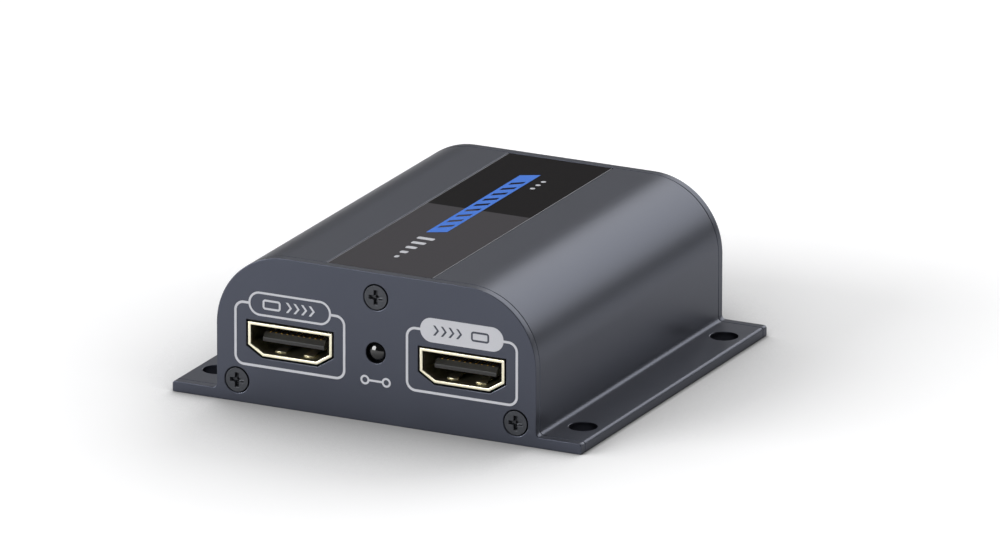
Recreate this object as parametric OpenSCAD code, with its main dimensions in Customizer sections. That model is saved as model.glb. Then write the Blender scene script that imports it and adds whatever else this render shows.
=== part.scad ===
// Video-over-network extender: an extruded, flanged aluminium housing with a screwed plate on each end
// and one circuit board inside. Millimetres, +Z up. The origin is the middle of the base, the front
// plate with the two video sockets faces -Y and the rear plate with the network socket faces +Y.

/* [Housing] */
// Width of the arched body
body_w = 56.8; // [54:0.2:70]
// Height of the body
body_h = 25.1; // [24:0.1:34]
// Depth over both end plates
body_d = 68.6; // [67:0.2:100]
// Radius of the rounded shoulders
shoulder_r = 12.3; // [6:0.1:13]
// Thickness of the sides and the top
wall_t = 1.5; // [1.2:0.1:2.2]
// Thickness of the floor
floor_t = 1.6; // [1.2:0.1:2.2]

/* [Mounting flanges] */
// How far each flange stands out from the body
flange_w = 8; // [7:0.1:15]
// Thickness of the flanges
flange_t = 1.8; // [1.4:0.1:3]
// Radius along the upper outer edge of a flange
flange_edge = 0.5; // [0.2:0.1:1.2]
// Radius of the fillet between a flange and the body
flange_fillet = 0.75; // [0.3:0.05:1.2]
// Radius of the four holes for wall screws
hole_r = 2.3; // [1.6:0.05:2.6]
// Distance from a hole's axis to the flange's outer edge
hole_edge = 3.75; // [3.2:0.05:4]
// Distance from a hole's axis to the end of the unit
hole_end = 8.3; // [5:0.1:20]

/* [End plates] */
// Thickness of the end plates
plate_t = 1.5; // [1.3:0.1:2.5]
// Clearance around what passes through a plate
cutout_gap = 0.3; // [0.1:0.05:0.4]
// Distance from a lower screw to the side of the body
low_screw_in = 3.6; // [3.3:0.1:5]
// Height of the lower screws
low_screw_z = 3.6; // [3.4:0.1:5]
// Distance from the upper screw to the top of the body
top_screw_in = 4.15; // [4:0.05:6]

/* [Screws] */
// Radius over the thread
screw_r = 1.25; // [1:0.05:1.4]
// Length under the head
screw_len = 5; // [4:0.5:10]
// Radius of the countersunk head
head_r = 2; // [1.9:0.05:2.3]
// Thickness of the head's straight rim
head_rim = 0.25; // [0.15:0.05:0.35]
// Gap around the head at the plate's face
head_gap = 0.2; // [0.1:0.02:0.3]
// Length of the cross recess
cross_len = 2.6; // [2:0.1:2.8]
// Width of the cross recess
cross_w = 0.7; // [0.4:0.05:0.8]
// Depth of the cross recess
cross_deep = 0.7; // [0.5:0.05:0.9]
// Wall of the channel around each screw
channel_wall = 1; // [0.8:0.1:1.4]

/* [Top label] */
// Width of the label
label_w = 18.7; // [12:0.1:30]
// Thickness of the label
label_t = 0.25; // [0.15:0.05:0.4]
// How far the label lies below the top of the body
label_sink = 0.05; // [0:0.01:0.1]
// Gap along each side of the label
label_gap = 0.12; // [0.05:0.01:0.2]

/* [Circuit board] */
// Thickness of the board
board_t = 1.2; // [1:0.1:1.6]
// Height of the board over the lower screw channels
board_rise = 0.8; // [0.7:0.1:1.6]
// How far the rails stand in from the sides
rail_w = 1.6; // [1.2:0.1:2]
// Thickness of each rail
rail_t = 1; // [0.8:0.1:1.4]
// Clearance at the board's edges and ends
board_gap = 0.3; // [0.1:0.05:0.5]
// Clearance between the board and the upper rail
slot_gap = 0.1; // [0.05:0.01:0.2]
// How far the soldered legs stand out below the board
leg_out = 0.6; // [0.3:0.1:0.7]
// Clearance around a leg in its hole
leg_gap = 0.1; // [0.05:0.01:0.15]

/* [Video sockets] */
// Distance of each video socket from the middle
video_x = 15.3; // [14:0.1:17]
// Inner width of the opening
video_w = 14; // [13.6:0.05:14.4]
// Inner height of the opening
video_h = 4.55; // [4.4:0.05:4.8]
// Height of the opening's straight sides
video_side = 3.1; // [2.8:0.1:3.3]
// Inner width of the opening's floor
video_floor_w = 9.4; // [8.8:0.1:10]
// Thickness of the shell
video_wall = 0.5; // [0.3:0.05:0.6]
// Depth of the shell
video_d = 12; // [11:0.1:14]
// Height of the shell over the board
video_lift = 0.3; // [0.2:0.05:0.6]
// Thickness of the tongue that carries the contacts
tongue_t = 1.6; // [1.6:0.1:2.1]
// Width of the tongue
tongue_w = 11; // [11:0.1:11.8]
// How far the tongue's tip lies behind the opening
tongue_in = 1.3; // [0.8:0.1:2]
// Length of the slopes at the tongue's tip
tongue_lead = 0.8; // [0.5:0.1:1]

/* [Lights] */
// Radius of a light's lens
lens_r = 1.5; // [1.2:0.05:1.6]
// Gap between a lens and its hole
lens_gap = 0.25; // [0.1:0.05:0.4]
// How far a lens lies behind the plate's face
lens_in = 0; // [0:0.05:0.8]
// Height of the lights and the reset button over the board
light_rise = 3.8; // [3.6:0.1:5]
// Distance of the power light from the middle
power_light_x = 3.6; // [3.4:0.1:3.8]

/* [Network socket] */
// Distance of the network socket from the middle
net_x = 14.2; // [14:0.1:14.6]
// Width over the shield
net_w = 15.9; // [15.6:0.1:16.2]
// Height over the board
net_h = 13.4; // [13:0.1:14]
// Depth of the socket
net_d = 16; // [15.5:0.1:18]
// Width of the plug opening
plug_w = 11.9; // [11.7:0.05:12.1]
// Height of the plug opening without the latch slot
plug_h = 6.8; // [6.7:0.05:7]
// Depth of the plug opening
plug_d = 12.6; // [12:0.1:13.5]

/* [Power socket] */
// Distance of the power socket from the middle
dc_x = 19.2; // [18.8:0.1:19.6]
// Width of the socket's block
dc_w = 9; // [8.8:0.1:9.4]
// Height of the socket's block
dc_h = 11; // [10.6:0.1:11.4]
// Depth of the socket
dc_d = 14.2; // [13.5:0.1:15]
// Radius of the barrel opening
dc_bore_r = 3.2; // [3:0.05:3.3]
// Radius of the centre pin
dc_pin_r = 1.05; // [0.9:0.05:1.3]

/* [Infrared socket] */
// Distance of the infrared socket from the middle
ir_x = 9.6; // [9.4:0.1:9.9]
// Width of the socket's block
ir_w = 6.4; // [6:0.1:6.6]
// Height of the socket's block
ir_h = 5; // [4.8:0.1:5.4]
// Depth of the socket
ir_d = 13.5; // [12.5:0.1:15]
// Radius of the plug bore
ir_bore_r = 1.8; // [1.75:0.01:1.85]

/* [Reset switch] */
// Distance of the reset button from the middle
reset_x = 2.3; // [2.2:0.05:2.5]
// Width and height of the switch
reset_w = 6; // [5.6:0.1:6.2]
// Depth of the switch body
reset_d = 3.4; // [3:0.1:4.5]
// Radius of the button's stem
stem_r = 1.75; // [1.5:0.05:1.85]
// How far the button lies behind the rear plate's face
button_in = 0.3; // [0:0.05:1]
// Travel of the button
press_travel = 0.3; // [0.2:0.05:0.4]

/* [Hidden] */

// Overrun of every cut past the face that it opens
over = 0.5;
// Running and seating clearance between small pieces
fit = 0.05;
// Facets of a round shape as drawn here, and of a large one
fine = 48;
broad = 96;

// Colours
gunmetal = [0.30, 0.31, 0.34];
screw_dark = [0.24, 0.25, 0.27];
label_black = [0.13, 0.12, 0.13];
bright_metal = [0.86, 0.84, 0.76];
black_plastic = [0.07, 0.07, 0.07];
gold = [0.83, 0.66, 0.27];
tin = [0.75, 0.75, 0.73];
board_green = [0.06, 0.25, 0.16];
chip_black = [0.10, 0.10, 0.11];

// Planes of the unit
front = -body_d / 2;
rear = body_d / 2;
front_in = front + plate_t;
rear_in = rear - plate_t;
inner_w = body_w - 2 * wall_t;
overall_w = body_w + 2 * flange_w;
hole_x = overall_w / 2 - hole_edge;
hole_y = rear - hole_end;

// Places of the screws, the same on both plates
low_screw_x = body_w / 2 - low_screw_in;
top_screw_z = body_h - top_screw_in;
screw_places = [[-low_screw_x, low_screw_z], [low_screw_x, low_screw_z], [0, top_screw_z]];
thread_r = screw_r + fit;
channel_r = thread_r + channel_wall;
screw_hole_gap = 0.15;
head_cone = head_r - screw_r;

// Planes of the board
board_z = low_screw_z + channel_r + board_rise;
board_top = board_z + board_t;
board_w = inner_w - 2 * board_gap;
board_d = body_d - 2 * plate_t - 2 * board_gap;
legs_z = board_z - leg_out;
light_z = board_top + light_rise;

// Sheet, strip and leg sizes of the small connectors
leg_w = 1.6;
strip_t = 0.3;
label_recess = label_t + label_sink;

// Video socket
video_z = board_top + video_lift + video_wall;
video_mid_share = 0.5;
tongue_tip_share = 0.4;
tongue_under_share = 0.1;
video_tongue_z = video_z + video_h * video_mid_share;
video_back = front + video_d;
video_block_d = 2.5;
video_foot_d = 1.5;
video_leg_in = 2.6;
contact_pitch = 1;
contact_w = 0.3;
contact_t = 0.15;
contact_foot = 0.8;
upper_contacts = 10;
lower_contacts = 9;

// Lights
lens_flange = 0.4;
lens_flange_t = 1;
holder_gap = 0.3;
holder_w = 4.4;
holder_d = 3;
light_leg_pitch = 2.54;
light_leg_t = 0.45;
light_leg_run = 1.4;

// Network socket, its latch slot facing the board
net_sheet = 0.25;
net_tail_room = 0.8;
net_base = 0.9;
latch_w = 6.4;
latch_h = 1.5;
catch_w = 3.6;
catch_h = 1.1;
net_contact_count = 8;
net_pitch = 1.02;
net_wire = 0.35;
net_slot_h = 0.45;
net_front_in = 1.9;
net_tip_drop = 2.2;
net_tip_reach = 6.5;
net_bend = 0.7;
net_peg_r = 1.6;
net_peg_x = 5.7;
net_peg_in = 9;
net_light_w = 2.6;
net_light_h = 1.7;
net_light_d = 3.5;
net_light_edge = 0.35;
net_ceiling = board_top + net_base + catch_h + latch_h + plug_h;
net_back = rear - net_d;
net_body_back = net_back + net_sheet + net_tail_room;
net_body_w = net_w - 2 * (net_sheet + fit);
net_body_h = net_h - net_sheet - fit;

// Power socket
dc_axis_rise = 6.5;
dc_axis_z = board_top + dc_axis_rise;
dc_back = rear - dc_d;
dc_bore_d = 9.8;
dc_ring = 0.7;
dc_nose_r = dc_bore_r + dc_ring;
dc_pin_in = 0.9;
dc_spring_w = 2.4;
dc_spring_in = 1.5;
dc_spring_end = 1.8;
dc_spring_len = dc_bore_d - dc_spring_end;
dc_spring_drop = 0.7;
dc_spring_lift = 1;
dc_spring_y = dc_back + dc_spring_in;
dc_spring_z = dc_axis_z - dc_bore_r - dc_spring_drop;
dc_spring_path = [[dc_spring_y, legs_z], [dc_spring_y, dc_spring_z],
    [dc_spring_y + dc_spring_len, dc_spring_z + dc_spring_lift]];

// Infrared socket
ir_axis_z = board_top + ir_h / 2;
ir_back = rear - ir_d;
ir_ring = 0.7;
ir_nose_r = ir_bore_r + ir_ring;
ir_leaf_t = 0.25;
ir_leaf_h = 1.6;
ir_leaf_d = 4;
ir_leaf_gap = 0.15;
ir_leaf_in = 3.5;

// Reset switch
reset_sheet = 0.3;
reset_back_gap = 0.6;
reset_front = rear_in - reset_back_gap - reset_sheet;
button_gap = 0.15;
button_hole_gap = 0.25;
button_rim_w = 0.7;
button_rim_t = 0.9;
button_nub_r = 0.8;
button_nub_len = 1.15;
dome_rim = 0.3;
dome_t = 0.1;
dome_rise = press_travel + dome_t + fit;
dome_steps = 8;
reset_well_r = stem_r + button_rim_w + button_gap;
reset_well_d = dome_rise + button_nub_len + button_rim_t + 2 * fit;
reset_floor = reset_front - reset_well_d;
dome_r = reset_well_r - dome_rim;

// Where the video sockets' contacts end on the board, and the depth left from there to the network socket
contact_back = video_back + video_foot_d + contact_t;
parts_front = contact_back + contact_foot;
parts_d = net_back - parts_front;

// Board parts, with their sizes. The first of a place's shares is of the board's width, from the middle,
// and the second is of the free depth, from parts_front
tx_place_share = [-0.226, 0.2655];
tx_size = [14, 14, 1.4];
pad_t = 0.5;
sink_base_t = 1.2;
sink_h = 4;
fin_count = 7;
fin_t = 0.8;
splitter_place_share = [0.175, 0.235];
splitter_size = [12, 12, 1.2];
memory_place_share = [0.01, 0.84];
memory_size = [4.9, 3.9, 1.5];
micro_place_share = [0, 0.5];
micro_size = [6, 6, 0.9];
trafo_depth_share = 0.765;
trafo_size = [15, 9.4, 5.6];
trafo_lead_count = 8;
trafo_lead_pitch = 1.5;
trafo_lead_w = 0.5;
trafo_lead_t = 0.25;
trafo_lead_z = 1.8;
trafo_lead_run = 0.5;
trafo_lead_foot = 1;
coil_place_share = [0.368, 0.72];
coil_w = 7.3;
coil_h = 4.5;
coil_sides = 8;
can_place_shares = [[0.17, 0.57], [0.17, 0.78]];
can_r = 2.5;
can_h = 5;
can_base = [5.3, 5.3, 0.7];
regulator_place_shares = [[0.373, 0.365], [0.373, 0.505]];
regulator_size = [6.5, 3.5, 1.6];
diode_place_share = [0.385, 0.91];
diode_size = [4.3, 2.6, 2.2];
crystal_place_shares = [[-0.017, 0.3], [-0.017, 0.69]];
crystal_size = [5, 3.2, 1.2];
cap_place_share = [0.345, 0.03];
cap_size = [1.6, 0.8, 0.8];
cap_step = 2.2;
cap_count = 4;
cap_rows = 3;
resistor_place_share = [-0.445, 0.2];
resistor_size = [1.6, 0.8, 0.45];
resistor_step = 1.7;
resistor_count = 6;
resistor_rows = 2;

function unit_vector(v) = v / norm(v);
function normal_of(v) = [-v.y, v.x];
function flip_x(points) = [for (i = [len(points) - 1 : -1 : 0]) [-points[i].x, points[i].y]];

// The edge of a strip at point i of its open path, at half a thickness from it
function edge_point(path, i, half) =
    let (last = len(path) - 1,
         after = unit_vector(path[min(i + 1, last)] - path[min(i, last - 1)]),
         before = unit_vector(path[max(i, 1)] - path[max(i, 1) - 1]),
         mitre = unit_vector(normal_of(after) + normal_of(before)))
    path[i] + mitre * half / (mitre * normal_of(after));

function strip_outline(path, t) = concat(
    [for (i = [0 : len(path) - 1]) edge_point(path, i, t / 2)],
    [for (i = [len(path) - 1 : -1 : 0]) edge_point(path, i, -t / 2)]);

// Legs through the board as [x, y, width in X, width in Y]
function video_legs(x) = [for (s = [-1, 1], y = [video_leg_in, video_d - video_leg_in])
    [x + s * (video_w + video_wall) / 2, front + y, video_wall, leg_w]];
function light_legs(x, y) = [for (s = [-1, 1])
    [x + s * light_leg_pitch / 2, y, light_leg_t, light_leg_t]];
light_leg_y = holder_gap + holder_d + lens_flange_t + light_leg_run;
link_legs = light_legs(0, front_in + light_leg_y);
power_light_legs_at = light_legs(power_light_x, rear_in - light_leg_y);
net_shield_legs = [for (s = [-1, 1])
    [-net_x + s * (net_w - net_sheet) / 2, net_back + net_d / 2, net_sheet, leg_w]];
net_tail_y = net_back + net_sheet + net_tail_room / 2;
net_tails = [for (i = [0 : net_contact_count - 1])
    [-net_x + (i - (net_contact_count - 1) / 2) * net_pitch, net_tail_y, net_wire, net_wire]];
dc_legs = [[dc_x, dc_spring_y, dc_spring_w, strip_t], [dc_x, dc_back - strip_t, dc_spring_w, strip_t]];
ir_leaf_x = ir_bore_r + ir_leaf_gap + ir_leaf_t / 2;
ir_legs = [for (s = [-1, 1]) [ir_x + s * ir_leaf_x, ir_back + ir_leaf_in, ir_leaf_t, leg_w]];
reset_cheek_x = (reset_w + reset_sheet) / 2 + fit;
reset_legs = [for (s = [-1, 1])
    [-reset_x + s * reset_cheek_x, reset_front - reset_d / 2, reset_sheet, leg_w]];
all_legs = concat(video_legs(-video_x), video_legs(video_x), link_legs, power_light_legs_at,
    net_shield_legs, net_tails, dc_legs, ir_legs, reset_legs);

// An outline in X and Z, drawn out along Y
module along_y(from, length) {
    translate([0, from + length, 0]) rotate([90, 0, 0]) linear_extrude(length) children();
}

module rod(x, z, from, length, r) {
    translate([x, from, z]) rotate([-90, 0, 0]) cylinder(h = length, r = r, $fn = fine);
}

// A block standing on z, centred on x and y
module block(x, y, z, size) {
    translate([x - size.x / 2, y - size.y / 2, z]) cube(size);
}

// A block between two planes in Y, centred on x
module slab(x, from, to, z, w, h) {
    translate([x - w / 2, from, z]) cube([w, to - from, h]);
}

// A strip bent along a path in Y and Z, w wide in X
module bent_strip(path, t, x, w) {
    translate([x - w / 2, 0, 0]) rotate([90, 0, 90]) linear_extrude(w) polygon(strip_outline(path, t));
}

// A place on the board, from its shares of the board's width and of the free depth
function on(share) = [share.x * board_w, parts_front + share.y * parts_d];

// A part that stands on the board
module stand(share, size) {
    block(on(share).x, on(share).y, board_top, size);
}

module both_sides() {
    children();
    mirror([1, 0, 0]) children();
}

// A quarter of a disc, from +X to +Y
module quarter(r) {
    intersection() {
        circle(r, $fn = broad);
        square(r);
    }
}

// Outline of the body alone, inset by t all round with its floor at base
module arch(t, base) {
    r = shoulder_r - t;
    w = body_w - 2 * t;
    translate([-w / 2, base]) square([w, body_h - shoulder_r - base]);
    translate([-w / 2 + r, body_h - shoulder_r]) square([w - 2 * r, r]);
    both_sides() translate([w / 2 - r, body_h - shoulder_r]) quarter(r);
}

// The right flange with its rounded edge and the fillet at the body's side
module flange_outline() {
    square([overall_w / 2, flange_t - flange_edge]);
    translate([0, flange_t - flange_edge]) square([overall_w / 2 - flange_edge, flange_edge]);
    translate([overall_w / 2 - flange_edge, flange_t - flange_edge]) quarter(flange_edge);
    translate([body_w / 2, flange_t]) difference() {
        square(flange_fillet);
        translate([flange_fillet, flange_fillet]) rotate(180) quarter(flange_fillet);
    }
}

module unit_outline() {
    union() {
        arch(0, 0);
        both_sides() flange_outline();
    }
}

// Channels for the screws and rails for the board, as seen in the section of the housing
module channels_and_rails() {
    both_sides() {
        translate([low_screw_x, low_screw_z]) circle(channel_r, $fn = fine);
        translate([inner_w / 2 - rail_w, board_z - rail_t]) square([rail_w + wall_t / 2, rail_t]);
        translate([inner_w / 2 - rail_w, board_top + slot_gap]) square([rail_w + wall_t / 2, rail_t]);
    }
    translate([0, top_screw_z]) circle(channel_r, $fn = fine);
    translate([-channel_r, top_screw_z]) square([2 * channel_r, body_h - wall_t / 2 - top_screw_z]);
}

module housing() {
    color(gunmetal) difference() {
        along_y(front_in, rear_in - front_in) difference() {
            unit_outline();
            difference() {
                arch(wall_t, floor_t);
                channels_and_rails();
            }
            translate([-label_w / 2 - label_gap, body_h - label_recess])
                square([label_w + 2 * label_gap, label_recess + over]);
            for (p = screw_places) translate(p) circle(thread_r, $fn = fine);
        }
        for (x = [-hole_x, hole_x], y = [-hole_y, hole_y])
            translate([x, y, -over]) cylinder(h = flange_t + 2 * over, r = hole_r, $fn = fine);
    }
}

// One countersunk hole through a plate whose outer face lies at y = 0 and whose metal runs to +Y
module screw_hole(p) {
    rod(p.x, p.y, -over, plate_t + 2 * over, screw_r + screw_hole_gap);
    rod(p.x, p.y, -over, head_rim + over, head_r + head_gap);
    translate([p.x, head_rim, p.y]) rotate([-90, 0, 0])
        cylinder(h = head_cone, r1 = head_r + fit, r2 = screw_r + fit, $fn = fine);
}

// A plate with its screw holes, outer face at y = 0
module blank_plate() {
    difference() {
        along_y(0, plate_t) unit_outline();
        for (p = screw_places) screw_hole(p);
    }
}

// Points of a video opening, grown by t all round, with its inner floor at z = 0
function video_points(t) =
    let (slope = unit_vector([(video_w - video_floor_w) / 2, video_h - video_side]),
         floor_x = video_floor_w / 2 + t * (1 - slope.x) / slope.y,
         side_z = video_h - video_side - t * (1 - slope.y) / slope.x,
         right = [[floor_x, -t], [video_w / 2 + t, side_z], [video_w / 2 + t, video_h + t]])
    concat(right, flip_x(right));

module video_outline(t) {
    polygon(video_points(t));
}

module front_plate() {
    color(gunmetal) difference() {
        translate([0, front, 0]) blank_plate();
        for (x = [-video_x, video_x]) along_y(front - over, plate_t + 2 * over)
            translate([x, video_z]) video_outline(video_wall + cutout_gap);
        rod(0, light_z, front - over, plate_t + 2 * over, lens_r + lens_gap);
    }
}

module rear_plate() {
    color(gunmetal) difference() {
        translate([0, rear, 0]) mirror([0, 1, 0]) blank_plate();
        slab(-net_x, rear_in - over, rear + over, board_top - cutout_gap,
            net_w + 2 * cutout_gap, net_h + 2 * cutout_gap);
        rod(dc_x, dc_axis_z, rear_in - over, plate_t + 2 * over, dc_nose_r + cutout_gap);
        rod(ir_x, ir_axis_z, rear_in - over, plate_t + 2 * over, ir_nose_r + cutout_gap);
        rod(-reset_x, light_z, rear_in - over, plate_t + 2 * over, stem_r + button_hole_gap);
        rod(power_light_x, light_z, rear_in - over, plate_t + 2 * over, lens_r + lens_gap);
    }
}

// One screw with its head's face at y = 0, pointing to +Y
module screw() {
    difference() {
        union() {
            rod(0, 0, 0, head_rim, head_r);
            translate([0, head_rim, 0]) rotate([-90, 0, 0])
                cylinder(h = head_cone, r1 = head_r, r2 = screw_r, $fn = fine);
            rod(0, 0, head_rim, head_cone + screw_len, screw_r);
        }
        for (w = [[cross_len, cross_w], [cross_w, cross_len]])
            slab(0, -over, cross_deep, -w.y / 2, w.x, w.y);
    }
}

module three_screws() {
    for (p = screw_places) translate([p.x, 0, p.y]) screw();
}

module front_screws() {
    color(screw_dark) translate([0, front, 0]) three_screws();
}

module rear_screws() {
    color(screw_dark) translate([0, rear, 0]) mirror([0, 1, 0]) three_screws();
}

module top_label() {
    color(label_black)
        slab(0, front_in + label_gap, rear_in - label_gap, body_h - label_recess, label_w, label_t);
}

// A leg from below the board up to top
module leg(p, top) {
    block(p.x, p.y, legs_z, [p[2], p[3], top - legs_z]);
}

module circuit_board() {
    color(board_green) difference() {
        block(0, 0, board_z, [board_w, board_d, board_t]);
        for (p = all_legs)
            block(p.x, p.y, board_z - over, [p[2] + 2 * leg_gap, p[3] + 2 * leg_gap, board_t + 2 * over]);
        for (s = [-1, 1]) translate([-net_x + s * net_peg_x, rear - net_peg_in, board_z - over])
            cylinder(h = board_t + 2 * over, r = net_peg_r + leg_gap, $fn = fine);
    }
}

module video_shell(x) {
    color(bright_metal) union() {
        along_y(front, video_d) translate([x, video_z]) difference() {
            video_outline(video_wall);
            video_outline(0);
        }
        for (p = video_legs(x)) leg(p, video_z + video_h / 2);
    }
}

// Places of the contacts as [x, run height, side of the tongue]
function contact_row(count, side) = [for (i = [0 : count - 1])
    [(i - (count - 1) / 2) * contact_pitch, video_tongue_z + side * (tongue_t - contact_t) / 2]];
contact_rows = concat(contact_row(upper_contacts, 1), contact_row(lower_contacts, -1));
contact_tip = front + tongue_in + tongue_lead;
function contact_path(z) = [[contact_tip, z], [contact_back, z], [contact_back, board_top + contact_t / 2],
    [contact_back + contact_foot, board_top + contact_t / 2]];

module contacts(x, room) {
    for (c = contact_rows)
        bent_strip(contact_path(c.y), contact_t + 2 * room, x + c.x, contact_w + 2 * room);
}

// The tongue, whose tip slopes so that a plug slides over it
module tongue(x) {
    tip = front + tongue_in;
    low = video_tongue_z - tongue_t / 2;
    under = tongue_under_share * tongue_t;
    translate([x - tongue_w / 2, 0, 0]) rotate([90, 0, 90]) linear_extrude(tongue_w)
        polygon([[tip, low + under], [tip + tongue_lead, low], [video_back, low], [video_back, low + tongue_t],
            [tip + tongue_lead, low + tongue_t], [tip, low + under + tongue_tip_share * tongue_t]]);
}

module video_insert(x) {
    color(black_plastic) difference() {
        union() {
            tongue(x);
            along_y(video_back - video_block_d, video_block_d) translate([x, video_z]) video_outline(-fit);
            slab(x, video_back, video_back + video_foot_d, board_top,
                video_w, video_z + video_h - board_top);
        }
        contacts(x, fit / 2);
    }
}

module video_contacts(x) {
    color(gold) contacts(x, 0);
}

module video_out_shell() {
    video_shell(-video_x);
}

module video_out_insert() {
    video_insert(-video_x);
}

module video_out_contacts() {
    video_contacts(-video_x);
}

module video_in_shell() {
    video_shell(video_x);
}

module video_in_insert() {
    video_insert(video_x);
}

module video_in_contacts() {
    video_contacts(video_x);
}

// A light seen from the front, with the plate's outer face at y = 0
module light_lens() {
    translate([0, lens_in + lens_r, light_z]) sphere(lens_r, $fn = fine);
    rod(0, light_z, lens_in + lens_r, plate_t + holder_gap + holder_d - lens_in - lens_r, lens_r);
    rod(0, light_z, plate_t + holder_gap + holder_d, lens_flange_t, lens_r + lens_flange);
}

module light_holder() {
    difference() {
        slab(0, plate_t + holder_gap, plate_t + holder_gap + holder_d, board_top,
            holder_w, light_rise + holder_w / 2);
        rod(0, light_z, 0, plate_t + holder_gap + holder_d + over, lens_r + fit);
    }
}

module light_leg_pair() {
    flange_back = plate_t + holder_gap + holder_d + lens_flange_t;
    for (s = [-1, 1]) bent_strip([[flange_back, light_z], [plate_t + light_leg_y, light_z],
        [plate_t + light_leg_y, legs_z]], light_leg_t, s * light_leg_pitch / 2, light_leg_t);
}

module at_front(x) {
    translate([x, front, 0]) children();
}

module at_rear(x) {
    translate([x, rear, 0]) mirror([0, 1, 0]) children();
}

module link_light() {
    color(black_plastic) at_front(0) light_lens();
}

module link_light_holder() {
    color(black_plastic) at_front(0) light_holder();
}

module link_light_legs() {
    color(tin) at_front(0) light_leg_pair();
}

module power_light() {
    color([0.75, 0.12, 0.08]) at_rear(power_light_x) light_lens();
}

module power_light_holder() {
    color(black_plastic) at_rear(power_light_x) light_holder();
}

module power_light_legs() {
    color(tin) at_rear(power_light_x) light_leg_pair();
}

module net_light_blocks(room, run) {
    for (s = [-1, 1]) slab(-net_x + s * (net_body_w / 2 - net_light_edge - net_light_w / 2),
        rear - net_light_d - room, rear + run, net_ceiling + net_slot_h + net_light_edge - room,
        net_light_w + 2 * room, net_light_h + 2 * room);
}

module network_jack_body() {
    color(black_plastic) difference() {
        union() {
            slab(-net_x, net_body_back, rear, board_top, net_body_w, net_body_h);
            for (s = [-1, 1]) translate([-net_x + s * net_peg_x, rear - net_peg_in, legs_z])
                cylinder(h = board_top - legs_z + over, r = net_peg_r, $fn = fine);
        }
        slab(-net_x, rear - plug_d, rear + over, net_ceiling - plug_h, plug_w, plug_h);
        slab(-net_x, rear - plug_d, rear + over, net_ceiling - plug_h - latch_h, latch_w, latch_h + over);
        slab(-net_x, rear - plug_d, rear + over, board_top + net_base, catch_w, catch_h + over);
        slab(-net_x, net_body_back - over, rear - net_front_in + net_wire, net_ceiling - fit,
            net_contact_count * net_pitch, net_slot_h + fit);
        net_light_blocks(fit, over);
    }
}

module network_jack_shield() {
    color(tin) union() {
        difference() {
            slab(-net_x, net_back, rear, board_top, net_w, net_h);
            slab(-net_x, net_back + net_sheet, rear + over, board_top - over,
                net_w - 2 * net_sheet, net_h - net_sheet + over);
        }
        for (p = net_shield_legs) leg(p, board_top + leg_w);
    }
}

module network_jack_contacts() {
    run_z = net_ceiling + net_slot_h / 2;
    bend_y = rear - net_front_in;
    color(gold) for (p = net_tails)
        bent_strip([[net_tail_y, legs_z], [net_tail_y, run_z], [bend_y, run_z], [bend_y, run_z - net_bend],
            [bend_y - net_tip_reach, net_ceiling - net_tip_drop]], net_wire, p.x, net_wire);
}

module network_jack_lights() {
    color([0.55, 0.72, 0.30]) net_light_blocks(0, 0);
}

module power_jack_body() {
    color(black_plastic) difference() {
        union() {
            slab(dc_x, dc_back, rear_in - cutout_gap, board_top, dc_w, dc_h);
            rod(dc_x, dc_axis_z, rear_in - dc_nose_r, plate_t + dc_nose_r, dc_nose_r);
        }
        rod(dc_x, dc_axis_z, rear - dc_bore_d, dc_bore_d + over, dc_bore_r);
        rod(dc_x, dc_axis_z, dc_back - over, dc_d, dc_pin_r + fit);
        slab(dc_x, dc_spring_y - strip_t / 2 - fit, dc_spring_y + dc_spring_len + strip_t,
            dc_spring_z - strip_t, dc_spring_w + 2 * fit, dc_bore_r);
        slab(dc_x, dc_spring_y - strip_t / 2 - fit, dc_spring_y + strip_t / 2 + fit,
            board_top - over, dc_spring_w + 2 * fit, dc_spring_z - board_top + over);
    }
}

module power_jack_pin() {
    color(bright_metal) union() {
        rod(dc_x, dc_axis_z, dc_back - 2 * strip_t, dc_d + 2 * strip_t - dc_pin_in, dc_pin_r);
        bent_strip([[dc_back - strip_t, legs_z], [dc_back - strip_t, dc_axis_z]],
            strip_t, dc_x, dc_spring_w);
    }
}

module power_jack_spring() {
    color(tin) bent_strip(dc_spring_path, strip_t, dc_x, dc_spring_w);
}

module ir_leaf(p, room) {
    block(p.x, p.y, legs_z - room, [p[2] + 2 * room, p[3] + 2 * room, ir_axis_z - legs_z + room]);
    block(p.x, p.y, ir_axis_z - ir_leaf_h / 2 - room,
        [p[2] + 2 * room, ir_leaf_d + 2 * room, ir_leaf_h + 2 * room]);
}

module infrared_jack_body() {
    color(black_plastic) difference() {
        union() {
            slab(ir_x, ir_back, rear_in - cutout_gap, board_top, ir_w, ir_h);
            rod(ir_x, ir_axis_z, rear_in - ir_nose_r, plate_t + ir_nose_r, ir_nose_r);
        }
        rod(ir_x, ir_axis_z, ir_back - over, ir_d + 2 * over, ir_bore_r);
        for (p = ir_legs) ir_leaf(p, fit);
    }
}

module infrared_jack_contacts() {
    color(gold) for (p = ir_legs) ir_leaf(p, 0);
}

module reset_switch_body() {
    color(black_plastic) difference() {
        block(-reset_x, reset_front - reset_d / 2, light_z - reset_w / 2, [reset_w, reset_d, reset_w]);
        rod(-reset_x, light_z, reset_floor, reset_well_d + over, reset_well_r);
    }
}

module reset_switch_cover() {
    color(tin) union() {
        difference() {
            slab(-reset_x, reset_front, reset_front + reset_sheet, light_z - reset_w / 2,
                2 * reset_cheek_x + reset_sheet, reset_w);
            rod(-reset_x, light_z, reset_front - over, reset_sheet + 2 * over, stem_r + button_gap);
        }
        for (p = reset_legs) {
            leg(p, light_z);
            block(p.x, reset_front + (reset_sheet - reset_d) / 2, light_z - reset_w / 2,
                [reset_sheet, reset_d + reset_sheet, reset_w]);
        }
    }
}

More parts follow.
